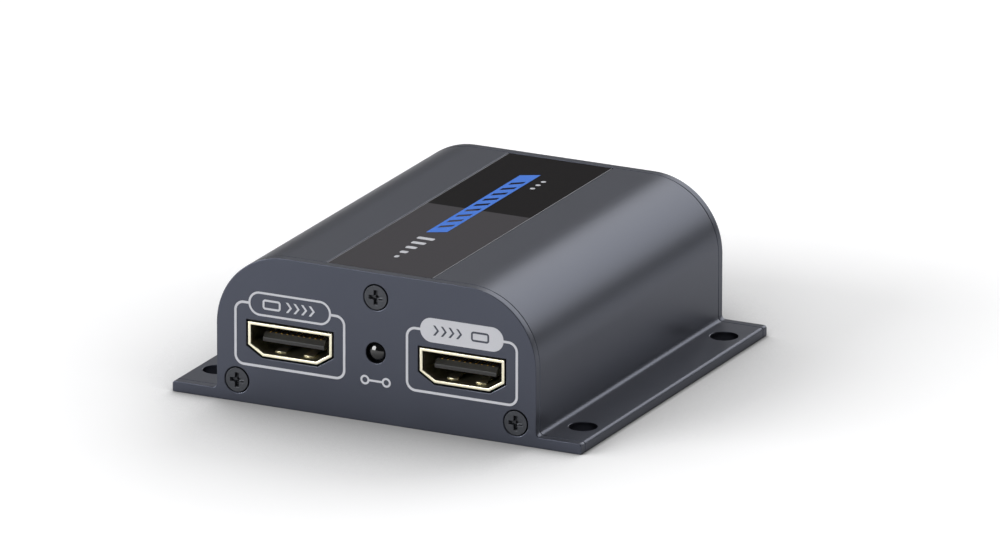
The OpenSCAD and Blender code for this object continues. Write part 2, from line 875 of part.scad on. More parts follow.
// A thin snap dome on the floor of the switch's well, its crown towards the button
module reset_switch_dome() {
    function dome_point(i, t) = [dome_r * i / dome_steps,
        (dome_rise - dome_t) * (1 - pow(i / dome_steps, 2)) + t];
    inner = [for (i = [0 : dome_steps]) dome_point(i, 0)];
    outer = [for (i = [dome_steps : -1 : 0]) dome_point(i, dome_t)];
    color(tin) translate([-reset_x, reset_floor, light_z]) rotate([-90, 0, 0])
        rotate_extrude($fn = fine) polygon(concat(inner, outer));
}

module reset_button() {
    rim_back = reset_front - fit - button_rim_t;
    color([0.62, 0.62, 0.60]) union() {
        rod(-reset_x, light_z, reset_floor + dome_rise + fit,
            reset_well_d - dome_rise - 2 * fit, button_nub_r);
        rod(-reset_x, light_z, rim_back, button_rim_t, reset_well_r - button_gap);
        rod(-reset_x, light_z, rim_back, rear - button_in - rim_back, stem_r);
    }
}

module transmitter_chip() {
    color(chip_black) stand(tx_place_share, tx_size);
}

module on_transmitter(rise, size) {
    at = on(tx_place_share);
    block(at.x, at.y, board_top + tx_size.z + rise, size);
}

module thermal_pad() {
    color([0.55, 0.60, 0.66]) on_transmitter(0, [tx_size.x, tx_size.y, pad_t]);
}

module heat_sink() {
    pitch = (tx_size.x - fin_t) / (fin_count - 1);
    color([0.16, 0.16, 0.17]) union() {
        on_transmitter(pad_t, [tx_size.x, tx_size.y, sink_base_t]);
        for (i = [0 : fin_count - 1]) translate([i * pitch - (tx_size.x - fin_t) / 2, 0, 0])
            on_transmitter(pad_t, [fin_t, tx_size.y, sink_h]);
    }
}

module splitter_chip() {
    color(chip_black) stand(splitter_place_share, splitter_size);
}

module memory_chip() {
    color(chip_black) stand(memory_place_share, memory_size);
}

module microcontroller() {
    color(chip_black) stand(micro_place_share, micro_size);
}

trafo_y = parts_front + trafo_depth_share * parts_d;

module network_transformer() {
    color(chip_black) block(-net_x, trafo_y, board_top, trafo_size);
}

module transformer_leads() {
    side_y = trafo_size.y / 2;
    lead_z = board_top + trafo_lead_z;
    foot_z = board_top + trafo_lead_t / 2;
    path = [[side_y, lead_z], [side_y + trafo_lead_run, lead_z], [side_y + trafo_lead_run, foot_z],
        [side_y + trafo_lead_run + trafo_lead_foot, foot_z]];
    color(tin) translate([-net_x, trafo_y, 0]) for (turn = [0, 180], i = [0 : trafo_lead_count - 1])
        rotate(turn) bent_strip(path, trafo_lead_t, (i - (trafo_lead_count - 1) / 2) * trafo_lead_pitch,
            trafo_lead_w);
}

module power_inductor() {
    at = on(coil_place_share);
    turn = 180 / coil_sides;
    color([0.20, 0.20, 0.21]) translate([at.x, at.y, board_top]) rotate(turn)
        cylinder(h = coil_h, r = coil_w / 2 / cos(turn), $fn = coil_sides);
}

module capacitor_bases() {
    color(black_plastic) for (share = can_place_shares) stand(share, can_base);
}

module filter_capacitors() {
    color([0.72, 0.73, 0.75]) for (share = can_place_shares)
        translate([on(share).x, on(share).y, board_top + can_base.z])
            cylinder(h = can_h, r = can_r, $fn = fine);
}

module voltage_regulators() {
    color(chip_black) for (share = regulator_place_shares) stand(share, regulator_size);
}

module protection_diode() {
    color(chip_black) stand(diode_place_share, diode_size);
}

module crystals() {
    color(tin) for (share = crystal_place_shares) stand(share, crystal_size);
}

// Rows of small parts from a corner place, one step apart in Y
module part_rows(share, step, count, rows, size) {
    for (i = [0 : count - 1], j = [0 : rows - 1]) translate([j * (size.x + size.y), i * step, 0])
        stand(share, size);
}

module chip_capacitors() {
    color([0.60, 0.47, 0.33]) part_rows(cap_place_share, cap_step, cap_count, cap_rows, cap_size);
}

module chip_resistors() {
    color(chip_black)
        part_rows(resistor_place_share, resistor_step, resistor_count, resistor_rows, resistor_size);
}

housing();
front_plate();
rear_plate();
front_screws();
rear_screws();
top_label();
circuit_board();
video_out_shell();
video_out_insert();
video_out_contacts();
video_in_shell();
video_in_insert();
video_in_contacts();
link_light();
link_light_holder();
link_light_legs();
network_jack_body();
network_jack_shield();
network_jack_contacts();
network_jack_lights();
power_jack_body();
power_jack_pin();
power_jack_spring();
infrared_jack_body();
infrared_jack_contacts();
power_light();
power_light_holder();
power_light_legs();
reset_switch_body();
reset_switch_cover();
reset_switch_dome();
reset_button();
transmitter_chip();
thermal_pad();
heat_sink();
splitter_chip();
memory_chip();
microcontroller();
network_transformer();
transformer_leads();
power_inductor();
filter_capacitors();
capacitor_bases();
voltage_regulators();
protection_diode();
crystals();
chip_capacitors();
chip_resistors();
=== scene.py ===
import math

import bmesh
import bpy
from mathutils import Matrix, Vector


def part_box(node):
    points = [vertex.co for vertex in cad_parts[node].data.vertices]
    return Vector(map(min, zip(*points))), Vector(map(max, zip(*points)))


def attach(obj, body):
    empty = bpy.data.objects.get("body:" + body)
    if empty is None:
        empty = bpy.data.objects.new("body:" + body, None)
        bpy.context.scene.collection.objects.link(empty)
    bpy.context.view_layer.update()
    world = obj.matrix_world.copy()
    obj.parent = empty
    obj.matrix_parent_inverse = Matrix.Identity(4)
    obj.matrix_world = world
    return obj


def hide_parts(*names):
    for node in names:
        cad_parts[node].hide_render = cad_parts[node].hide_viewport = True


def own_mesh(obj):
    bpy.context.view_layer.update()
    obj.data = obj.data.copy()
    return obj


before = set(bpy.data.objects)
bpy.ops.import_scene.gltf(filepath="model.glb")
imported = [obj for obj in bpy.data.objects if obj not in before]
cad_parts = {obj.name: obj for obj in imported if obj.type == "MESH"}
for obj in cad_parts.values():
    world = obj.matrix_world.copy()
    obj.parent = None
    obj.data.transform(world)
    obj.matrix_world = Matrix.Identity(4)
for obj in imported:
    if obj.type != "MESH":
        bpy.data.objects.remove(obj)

bl_info = {
    "name": "Video extender unit",
    "version": (1, 0, 0),
    "blender": (4, 5, 0),
    "location": "View3D > Sidebar > Extender",
    "description": "Models and finishes a flanged aluminium video extender on its packed frame",
    "category": "Object",
}

MM = 0.001
X, Y, Z = 0, 1, 2
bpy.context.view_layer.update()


def length(name, description, millimetres):
    """A size property, given in millimetres and held in metres."""
    return bpy.props.FloatProperty(
        name=name, description=description, default=millimetres * MM, min=0, precision=5, unit="LENGTH"
    )


def linear(red, green, blue):
    """An sRGB colour of 0 to 255 as the linear colour that the shaders work in."""
    return tuple(
        c / 12.92 if c <= 0.04045 else ((c + 0.055) / 1.055) ** 2.4
        for c in (red / 255, green / 255, blue / 255)
    )


def paint(name, description, red, green, blue):
    """A colour property, given as sRGB of 0 to 255."""
    return bpy.props.FloatVectorProperty(
        name=name, description=description, default=linear(red, green, blue), min=0, max=1, size=3, subtype="COLOR"
    )


class HousingSizes(bpy.types.PropertyGroup):
    """Sizes of the extruded housing and its two plates."""

    shoulder_r: length("Shoulder radius", "Radius of the rounded shoulders", 12.3)
    wall_t: length("Wall", "Thickness of the sides and the roof", 1.5)
    floor_t: length("Floor", "Thickness of the floor", 1.6)
    flange_w: length("Flange width", "How far each flange stands out from the body", 8)
    flange_t: length("Flange thickness", "Thickness of the flanges", 1.8)
    flange_edge: length("Flange edge", "Radius along the upper outer edge of a flange", 0.5)
    flange_base: length("Flange base edge", "Radius along the lower outer edge of a flange", 0.25)
    flange_fillet: length("Flange fillet", "Radius of the fillet between a flange and the body", 0.75)
    hole_r: length("Flange hole", "Radius of the holes for wall screws", 2.3)
    hole_edge: length("Hole inset", "Distance from a hole's axis to the flange's edge", 3.75)
    hole_end: length("Hole end distance", "Distance from a hole's axis to the end of the unit", 8.3)
    recess: length("Label recess", "Depth of the recess for the label", 0.3)
    label_gap: length("Label gap", "Gap along each side of the label", 0.12)
    cutout_gap: length("Cut-out gap", "Clearance around what passes through a plate", 0.3)
    rail_w: length("Rail width", "How far the rails stand in from the sides", 1.6)
    rail_t: length("Rail thickness", "Thickness of each rail", 1)
    slot_gap: length("Slot gap", "Clearance between the board and the upper rail", 0.1)
    channel_r: length("Screw channel", "Outer radius of the channels for the plate screws", 2.3)
    thread_r: length("Thread hole", "Radius of the holes that the screws bite into", 1.3)
    edge_round: length("Cut edges", "Rounding of the edges that the saw and the mill leave", 0.12)
    seam: length("Seam", "Gap between the housing and each plate", 0.04)
    arc_steps: bpy.props.IntProperty(name="Arc steps", description="Steps in a shoulder's arc", default=28, min=4)


class FittingSizes(bpy.types.PropertyGroup):
    """Sizes of the screws, sockets, lights and button."""

    head_r: length("Screw head", "Radius of a screw's head", 2)
    head_gap: length("Head gap", "Gap around a screw's head", 0.2)
    head_rim: length("Head rim", "Straight rim of a screw's head", 0.25)
    screw_r: length("Screw shank", "Radius over a screw's thread", 1.25)
    cross_len: length("Cross length", "Length of a screw's cross recess", 2.6)
    cross_w: length("Cross width", "Width of a screw's cross recess", 0.72)
    cross_deep: length("Cross depth", "Depth of a screw's cross recess", 0.7)
    video_w: length("Video opening width", "Inner width of a video opening", 14)
    video_h: length("Video opening height", "Inner height of a video opening", 4.55)
    video_side: length("Video opening side", "Height of a video opening's straight sides", 3.1)
    video_floor_w: length("Video opening floor", "Inner width of a video opening's floor", 9.4)
    video_wall: length("Video shell", "Thickness of a video socket's shell", 0.5)
    lens_r: length("Lens radius", "Radius of a light's lens", 1.5)
    lens_dome: length("Lens dome", "How far a lens's dome stands up from its barrel", 0.85)
    lens_gap: length("Lens gap", "Gap between a lens and its hole", 0.25)
    lens_flange: length("Lens flange", "How far a lens's flange stands out", 0.4)
    lens_flange_t: length("Lens flange thickness", "Thickness of a lens's flange", 1)
    power_nose_r: length("Power socket nose", "Radius of the power socket's nose", 3.9)
    power_rise: length("Power socket axis", "Height of the power socket's axis over the board", 6.5)
    infrared_nose_r: length("Infrared socket nose", "Radius of the infrared socket's nose", 2.5)
    stem_r: length("Button stem", "Radius of the reset button's stem", 1.75)
    button_gap: length("Button gap", "Gap between the button and its hole in the plate", 0.25)
    rim_t: length("Button rim", "Thickness of the button's rim", 0.9)
    nub_r: length("Button nub", "Radius of the nub that presses the dome", 0.8)


class MarkSizes(bpy.types.PropertyGroup):
    """Places and sizes of the printed marks."""

    ink_t: length("Ink", "How far printed ink stands up", 0.02)
    frame_low: length("Frame bottom", "Height of a socket frame's lower line", 6.3)
    frame_high: length("Frame top", "Height of a socket frame's upper line", 17.1)
    frame_w: length("Frame width", "Width of the frame around a socket", 19.85)
    frame_r: length("Frame corner", "Corner radius of a socket frame", 1.7)
    frame_line: length("Frame line", "Width of a socket frame's line", 0.42)
    tab_w: length("Tab width", "Width of the tab on a socket frame", 14.75)
    tab_low: length("Tab bottom", "Height of a tab's lower edge", 14.95)
    tab_high: length("Tab top", "Height of a tab's upper edge", 19)
    sign_h: length("Sign height", "Height of the signs on the tabs", 1.7)
    sign_line: length("Sign line", "Line width of the signs", 0.34)
    # The split is where the painted reflection on the label's front part ends.
    tone_split: length("Tone split", "Where the label's two tones meet, behind the middle", 2.7)
    band_x: length("Band offset", "How far the band's middle lies left of the middle", 0.9)
    # The label's pale side edges are a painted highlight.
    rim_w: length("Label rim", "Width of the label's pale cut edges", 0.14)
    band_w: length("Band width", "Width of the coloured band on the label", 3)


class UnitColours(bpy.types.PropertyGroup):
    """Colours of the unit, as the photograph shows them."""

    anodised: paint("Anodised metal", "The housing and the plates", 73, 76, 86)
    screw: paint("Screws", "The plate screws", 62, 64, 69)
    # The label's paler front colour is a painted reflection; the film's own colour is the darker one.
    label_front: paint("Label, front", "The paler part of the label", 74, 72, 75)
    label_rear: paint("Label, rear", "The darker part of the label", 30, 28, 29)
    ink: paint("Pale ink", "The printed marks", 206, 207, 213)
    band: paint("Band", "The coloured band on the label", 28, 116, 228)
    socket: paint("Socket metal", "The video sockets' shells", 246, 240, 214)
    tin: paint("Tinned metal", "Shields, legs and springs", 190, 190, 186)
    gold: paint("Contacts", "Gold plated contacts", 212, 170, 92)
    plastic: paint("Black plastic", "Socket bodies and holders", 20, 20, 20)
    board: paint("Board", "Solder mask of the circuit board", 18, 74, 48)
    lens: paint("Dark lens", "The link light's lens", 9, 9, 10)
    red: paint("Red lens", "The power light's lens", 170, 24, 16)
    window: paint("Socket light", "The light windows of the network socket", 176, 196, 96)
    button: paint("Button", "The reset button", 150, 150, 147)
    floor: paint("Floor", "The floor under the unit", 242, 242, 243)


class StageSettings(bpy.types.PropertyGroup):
    """The camera's place, fitted to the photograph, and the floor."""

    yaw: bpy.props.FloatProperty(
        name="Yaw", description="Turn of the view from the front", default=math.radians(26.217), subtype="ANGLE"
    )
    pitch: bpy.props.FloatProperty(
        name="Pitch", description="Height of the view as an angle", default=math.radians(17.746), subtype="ANGLE"
    )
    roll: bpy.props.FloatProperty(
        name="Roll", description="Lean of the picture", default=math.radians(0.105), subtype="ANGLE"
    )
    distance: length("Distance", "From the camera to its target", 2675.46)
    target: bpy.props.FloatVectorProperty(
        name="Target",
        description="Where the camera looks",
        default=(5.139 * MM, 0, 15.739 * MM),
        precision=6,
        subtype="TRANSLATION",
        unit="LENGTH",
    )
    lens: bpy.props.FloatProperty(name="Lens", description="Focal length in millimetres", default=600, min=1)
    floor_w: length("Floor width", "Width of the floor", 9000)


def housing_sizes():
    return bpy.context.scene.housing_sizes


def fitting_sizes():
    return bpy.context.scene.fitting_sizes


def mark_sizes():
    return bpy.context.scene.mark_sizes


def colours():
    return bpy.context.scene.unit_colours


class Varying:
    """A shader value that varies over the surface. Python's operators on it add Math nodes."""

    def __init__(self, finish, socket):
        self.finish, self.socket = finish, socket

    def maths(self, operation, *terms):
        return self.finish.node("ShaderNodeMath", {"operation": operation}, dict(enumerate(terms)))

    def __add__(self, other):
        return self.maths("ADD", self, other)

    def __sub__(self, other):
        return self.maths("SUBTRACT", self, other)

    def __rsub__(self, other):
        return self.maths("SUBTRACT", other, self)

    def __mul__(self, other):
        return self.maths("MULTIPLY", self, other)

    def __truediv__(self, other):
        return self.maths("DIVIDE", self, other)

    def __pow__(self, other):
        return self.maths("POWER", self, other)

    def __gt__(self, other):
        return self.maths("GREATER_THAN", self, other)

    def __lt__(self, other):
        return self.maths("LESS_THAN", self, other)

    __radd__, __rmul__ = __add__, __mul__

    def fraction(self):
        return self.maths("FRACT", self)

    def absolute(self):
        return self.maths("ABSOLUTE", self)

    def over(self, low, high):
        """The value's place between low and high, kept from 0 to 1."""
        return self.finish.node(
            "ShaderNodeMapRange",
            {"interpolation_type": "SMOOTHSTEP"},
            {"Value": self, "From Min": low, "From Max": high},
        )


class Finish:
    """A material whose nodes are written as expressions."""

    def __init__(self, name, colour, roughness, metallic=0.0, **constants):
        self.material = bpy.data.materials.new(name)
        self.material.use_nodes = True
        self.tree = self.material.node_tree
        self.shader = self.tree.nodes["Principled BSDF"]
        self.give("Base Color", colour)
        self.give("Roughness", roughness)
        self.give("Metallic", metallic)
        for socket, value in constants.items():
            self.give(socket.replace("_", " "), value)
        self.place = self.node("ShaderNodeTexCoord", output="Object")

    def node(self, kind, settings=None, inputs=None, output=0):
        """Adds a node, with its settings first and then its sockets' values or links."""
        made = self.tree.nodes.new(kind)
        for name, value in (settings or {}).items():
            if name == "stops":
                self.set_stops(made.color_ramp, value)
            else:
                setattr(made, name, value)
        for name, value in (inputs or {}).items():
            self.feed(made.inputs[name], value)
        return Varying(self, made.outputs[output])

    def set_stops(self, ramp, stops):
        for place, colour in stops[2:]:
            ramp.elements.new(place)
        for element, (place, colour) in zip(ramp.elements, stops):
            element.position, element.color = place, (*colour, 1)

    def feed(self, socket, value):
        if isinstance(value, Varying):
            self.tree.links.new(value.socket, socket)
        elif socket.type == "RGBA":
            socket.default_value = (*value[:3], 1)
        else:
            socket.default_value = value

    def give(self, name, value):
        self.feed(self.shader.inputs[name], value)

    def noise(self, size, stretch=(1, 1, 1), detail=2.0, roughness=0.5):
        """Soft noise with grains of about this size in metres, stretched along the axes."""
        moved = self.node("ShaderNodeMapping", inputs={"Vector": self.place, "Scale": [1 / s for s in stretch]})
        return self.node(
            "ShaderNodeTexNoise",
            inputs={"Vector": moved, "Scale": 1 / size, "Detail": detail, "Roughness": roughness},
        )

    def mix(self, share, first, second):
        """Goes from the first colour to the second as the share goes from 0 to 1."""
        return self.node(
            "ShaderNodeMix", {"data_type": "RGBA"}, {"Factor": share, 6: first, 7: second}, output=2
        )

    def axis(self, which):
        """The place along X, Y or Z in metres."""
        return self.node("ShaderNodeSeparateXYZ", inputs={"Vector": self.place}, output=which)

    def bump(self, height, distance, strength=1.0):
        """Raises the surface by the height, where 1 is the distance in metres."""
        raised = self.node(
            "ShaderNodeBump", inputs={"Height": height, "Distance": distance, "Strength": strength}, output="Normal"
        )
        self.give("Normal", raised)


def tinted(colour, factor):
    """A colour made darker or paler by a factor."""
    return tuple(min(1, c * factor) for c in colour)


def anodised_aluminium():
    """Blasted and anodised extrusion: fine grain, faint draw lines along its length."""
    c = tuple(colours().anodised)
    finish = Finish("anodised_aluminium", c, 0.38, metallic=0.92)
    grain = finish.noise(0.14 * MM, detail=3)
    drawn = finish.noise(0.3 * MM, stretch=(1, 120, 1), detail=1)
    clouds = finish.noise(9 * MM, detail=2)
    finish.give("Base Color", finish.mix(clouds, tinted(c, 0.96), tinted(c, 1.04)))
    finish.give("Roughness", 0.345 + clouds * 0.03 + grain * 0.04)
    finish.bump(grain * 0.75 + drawn * 0.25, 0.006 * MM, 0.2)
    return finish


def screw_steel():
    """Black zinc on steel, a little brighter in cloudy patches."""
    c = tuple(colours().screw)
    finish = Finish("screw_steel", c, 0.36, metallic=0.5)
    patches = finish.noise(0.6 * MM, detail=3)
    finish.give("Base Color", finish.mix(patches, tinted(c, 0.82), tinted(c, 1.15)))
    finish.give("Roughness", 0.3 + patches * 0.14)
    finish.bump(finish.noise(0.08 * MM, detail=2), 0.003 * MM, 0.4)
    return finish


def label_film():
    """Satin black film with a painted reflection that makes its front part paler up to a straight split, a painted
    highlight along each side edge, and a fine grain.
    """
    finish = Finish("label_film", tuple(colours().label_front), 0.5, Specular_IOR_Level=0.02)
    # Painted reflection: the label's front part, up to the split, takes the paler colour; behind it the film keeps its
    # own dark colour.
    behind = finish.axis(Y).over(mark_sizes().tone_split - 0.05 * MM, mark_sizes().tone_split + 0.05 * MM)
    tones = finish.mix(behind, tuple(colours().label_front), tuple(colours().label_rear))
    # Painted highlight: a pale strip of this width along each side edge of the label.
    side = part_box("top_label")[1].x - mark_sizes().rim_w
    finish.give("Base Color", finish.mix(finish.axis(X).absolute() > side, tones, linear(150, 151, 156)))
    grain = finish.noise(0.1 * MM, detail=2)
    finish.give("Roughness", 0.46 + grain * 0.08)
    finish.bump(grain, 0.002 * MM, 0.3)
    return finish


def ink(name, colour):
    """Screen-printed ink with the slight mottle of its mesh."""
    finish = Finish(name, colour, 0.55)
    mottle = finish.noise(0.12 * MM, detail=2)
    finish.give("Base Color", finish.mix(mottle, tinted(colour, 0.93), tinted(colour, 1.04)))
    finish.give("Roughness", 0.5 + mottle * 0.12)
    finish.bump(mottle, 0.003 * MM, 0.4)
    return finish


def print_ink():
    return ink("print_ink", tuple(colours().ink))


def band_ink():
    return ink("band_ink", tuple(colours().band))


def board_laminate():
    """Solder mask over copper lines, with the weave of the glass cloth."""
    c = tuple(colours().board)
    finish = Finish("board_laminate", c, 0.3, Coat_Weight=0.3)
    cells = finish.node(
        "ShaderNodeTexBrick",
        {"offset": 0.5},
        {
            "Vector": finish.place,
            "Color1": (1, 1, 1),
            "Color2": (0.6, 0.6, 0.6),
            "Mortar": (0, 0, 0),
            "Scale": 60.0,
            "Mortar Size": 0.006,
            "Brick Width": 0.22,
            "Row Height": 0.05,
        },
        output="Fac",
    )
    cloth = finish.noise(0.4 * MM, detail=1)
    finish.give("Base Color", finish.mix(cells, tinted(c, 0.85), tinted(c, 1.5)))
    finish.give("Roughness", 0.26 + cloth * 0.1)
    finish.bump(cells * 0.6 + cloth * 0.4, 0.03 * MM, 0.4)
    return finish


def plated(name, colour, roughness, grain_size):
    """Plated sheet metal: rolled grain, and a tone that drifts a little."""
    finish = Finish(name, colour, roughness, metallic=1.0)
    rolled = finish.noise(grain_size, stretch=(1, 14, 1), detail=2)
    tone = finish.noise(4 * MM, detail=2)
    finish.give("Base Color", finish.mix(tone, tinted(colour, 0.93), tinted(colour, 1.03)))
    finish.give("Roughness", roughness - 0.05 + rolled * 0.1)
    finish.bump(rolled, 0.003 * MM, 0.3)
    return finish


def socket_metal():
    return plated("socket_metal", tuple(colours().socket), 0.3, 0.1 * MM)


def tinned_metal():
    return plated("tinned_metal", tuple(colours().tin), 0.32, 0.15 * MM)


def contact_gold():
    return plated("contact_gold", tuple(colours().gold), 0.24, 0.05 * MM)


def moulded(name, colour, roughness, grain_size=0.12 * MM, depth=0.006 * MM, **constants):
    """Moulded plastic with the fine texture of its tool."""
    finish = Finish(name, colour, roughness, **constants)
    texture = finish.noise(grain_size, detail=3)
    flow = finish.noise(3 * MM, detail=2)
    finish.give("Base Color", finish.mix(flow, tinted(colour, 0.9), tinted(colour, 1.1)))
    finish.give("Roughness", roughness - 0.04 + texture * 0.08)
    finish.bump(texture, depth, 0.4)
    return finish


def black_plastic():
    return moulded("black_plastic", tuple(colours().plastic), 0.46)


def button_plastic():
    return moulded("button_plastic", tuple(colours().button), 0.45)


def chip_epoxy():
    return moulded("chip_epoxy", linear(34, 34, 36), 0.5, 0.08 * MM, 0.01 * MM)


def ceramic_body():
    return moulded("ceramic_body", linear(164, 132, 96), 0.5)


def coil_ferrite():
    return moulded("coil_ferrite", linear(62, 61, 62), 0.6, 0.2 * MM, 0.02 * MM)


def pad_silicone():
    return moulded("pad_silicone", linear(142, 152, 168), 0.7, 0.3 * MM, 0.02 * MM)


def clear(name, colour, roughness):
    """A tinted, polished lens with a hard gloss, its tone a little cloudy inside."""
    finish = Finish(name, colour, roughness, Coat_Weight=0.6, Coat_Roughness=0.04)
    clouds = finish.noise(0.9 * MM, detail=2)
    finish.give("Base Color", finish.mix(clouds, tinted(colour, 0.8), tinted(colour, 1.15)))
    finish.give("Roughness", roughness + clouds * 0.03)
    return finish


def dark_lens():
    return clear("dark_lens", tuple(colours().lens), 0.1)


def red_lens():
    return clear("red_lens", tuple(colours().red), 0.12)


def jack_light_lens():
    return clear("jack_light_lens", tuple(colours().window), 0.2)


def sink_aluminium():
    """Black anodised fins with the streaks of their extrusion."""
    c = linear(44, 44, 47)
    finish = Finish("sink_aluminium", c, 0.45, metallic=0.5)
    streaks = finish.noise(0.2 * MM, stretch=(1, 60, 1), detail=2)
    finish.give("Base Color", finish.mix(streaks, tinted(c, 0.85), tinted(c, 1.2)))
    finish.give("Roughness", 0.38 + streaks * 0.14)
    finish.bump(streaks, 0.006 * MM, 0.4)
    return finish


def can_aluminium():
    """Bare drawn cans, with faint streaks along their height; the dark sector on their tops is not drawn."""
    c = linear(206, 208, 212)
    finish = Finish("can_aluminium", c, 0.3, metallic=1.0)
    drawn = finish.noise(0.3 * MM, stretch=(1, 1, 20), detail=2)
    finish.give("Base Color", finish.mix(drawn, tinted(c, 0.85), tinted(c, 1.0)))
    finish.give("Roughness", 0.24 + drawn * 0.14)
    finish.bump(drawn, 0.004 * MM, 0.3)
    return finish


FINISHES = (
    anodised_aluminium,
    screw_steel,
    label_film,
    print_ink,
    band_ink,
    board_laminate,
    socket_metal,
    tinned_metal,
    contact_gold,
    black_plastic,
    button_plastic,
    chip_epoxy,
    ceramic_body,
    coil_ferrite,
    pad_silicone,
    dark_lens,
    red_lens,
    jack_light_lens,
    sink_aluminium,
    can_aluminium,
)
made_finishes = {}


def material(name):
    """The finish of this name, made when it is first asked for."""
    if name not in made_finishes:
        maker = next(f for f in FINISHES if f.__name__ == name)
        made_finishes[name] = maker().material
    return made_finishes[name]


def hold(piece):
    """Makes a piece the only one selected, and the active one."""
    bpy.ops.object.select_all(action="DESELECT")
    piece.select_set(True)
    bpy.context.view_layer.objects.active = piece


def settle(piece):
    """Puts a piece's place, turn and scale into its mesh."""
    hold(piece)
    bpy.ops.object.transform_apply(location=True, rotation=True, scale=True)
    return piece


def block(low, high):
    """A block between two corners."""
    low, high = Vector(low), Vector(high)
    bpy.ops.object.select_all(action="DESELECT")
    bpy.ops.mesh.primitive_cube_add(size=1, location=(low + high) / 2)
    piece = bpy.context.object
    piece.scale = high - low
    return settle(piece)


def rod(start, end, radius, end_radius=None, sides=72):
    """A round bar from start to end, or a cone if its end has a radius of its own."""
    start, end = Vector(start), Vector(end)
    bpy.ops.object.select_all(action="DESELECT")
    bpy.ops.mesh.primitive_cone_add(
        vertices=sides,
        radius1=radius,
        radius2=radius if end_radius is None else end_radius,
        depth=(end - start).length,
        location=(start + end) / 2,
        rotation=(end - start).to_track_quat("Z", "Y").to_euler(),
    )
    return settle(bpy.context.object)


class Editing:
    """Holds a piece in edit mode for the length of a with block."""

    def __init__(self, piece):
        self.piece = piece

    def __enter__(self):
        hold(self.piece)
        bpy.ops.object.mode_set(mode="EDIT")
        return self

    def __exit__(self, *stopped):
        bpy.ops.object.mode_set(mode="OBJECT")

    def pick(self, kind, test):
        """Selects the vertices, edges or faces that pass the test, and nothing else."""
        bpy.ops.mesh.select_mode(type=kind)
        bpy.ops.mesh.select_all(action="DESELECT")
        mesh = bmesh.from_edit_mesh(self.piece.data)
        for element in {"VERT": mesh.verts, "EDGE": mesh.edges, "FACE": mesh.faces}[kind]:
            element.select_set(bool(test(element)))
        bmesh.update_edit_mesh(self.piece.data)

    def pick_all(self):
        bpy.ops.mesh.select_all(action="SELECT")

    def bisect(self, point, normal, keep_inner=False):
        """Cuts across the whole piece, and can drop what lies beyond the plane."""
        self.pick_all()
        bpy.ops.mesh.bisect(plane_co=point, plane_no=normal, use_fill=keep_inner, clear_outer=keep_inner)

    def merge_flat_faces(self):
        self.pick_all()
        bpy.ops.mesh.dissolve_limited(angle_limit=math.radians(0.3))


def middle(element):
    """The middle of an edge or a face."""
    return sum((v.co for v in element.verts), Vector()) / len(element.verts)


def runs_along(edge, axis):
    run = edge.verts[1].co - edge.verts[0].co
    return abs(run[axis]) > 0.999 * run.length


def close(a, b):
    return abs(a - b) < 0.001 * MM


def combine(piece, other, operation="DIFFERENCE"):
    """Cuts another piece away from this one, or adds it, and uses the other one up."""
    hold(piece)
    step = piece.modifiers.new("Combine", "BOOLEAN")
    step.operation, step.object, step.solver = operation, other, "EXACT"
    bpy.ops.object.modifier_apply(modifier=step.name)
    bpy.data.objects.remove(other)
    return piece


def cut(piece, *cutters):
    for cutter in cutters:
        combine(piece, cutter)
    return piece


def join(*pieces):
    """Makes several pieces one object."""
    bpy.ops.object.select_all(action="DESELECT")
    for piece in pieces:
        piece.select_set(True)
    bpy.context.view_layer.objects.active = pieces[0]
    bpy.ops.object.join()
    return pieces[0]


def soften(piece, width, steps=3, sharp_from=40.0):
    """Rounds every sharp edge and shades the flats flat."""
    hold(piece)
    edges = piece.modifiers.new("Edges", "BEVEL")
    edges.width, edges.segments = width, steps
    edges.limit_method, edges.angle_limit = "ANGLE", math.radians(sharp_from)
    edges.use_clamp_overlap = False
    bpy.ops.object.modifier_apply(modifier=edges.name)
    return smooth(piece)


def smooth(piece):
    hold(piece)
    bpy.ops.object.shade_smooth()
    flats = piece.modifiers.new("Flats", "WEIGHTED_NORMAL")
    bpy.ops.object.modifier_apply(modifier=flats.name)
    return piece


def done(piece, name, finish, *nodes, slot=None, body="unit"):
    """Names and finishes a piece, hangs it on the body that it rides on, and hides the CAD nodes that it stands for.
    """
    piece.name = piece.data.name = name
    piece.data.materials.clear()
    piece.data.materials.append(material(finish))
    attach(piece, body)
    slot or finish
    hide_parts(*nodes)
    return piece


def rounded_copy(node, width, steps=2):
    """A copy of a CAD node, merged into clean faces, with its edges rounded."""
    hold(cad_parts[node])
    bpy.ops.object.duplicate()
    piece = bpy.context.object
    piece.parent = None
    for tag in [key for key in piece.keys() if key.startswith("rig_")]:
        del piece[tag]
    with Editing(piece) as edit:
        edit.pick_all()
        bpy.ops.mesh.remove_doubles(threshold=0.0005 * MM)
        edit.merge_flat_faces()
    return soften(piece, width, steps)


def box_middle(node):
    low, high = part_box(node)
    return (low + high) / 2


def board_top():
    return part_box("circuit_board")[1].z


def screw_places():
    """The screws' axes as X and Z: two low ones and one at the top."""
    low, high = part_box("front_screws")
    r = fitting_sizes().head_r
    return [(low.x + r, low.z + r), (high.x - r, low.z + r), ((low.x + high.x) / 2, high.z - r)]


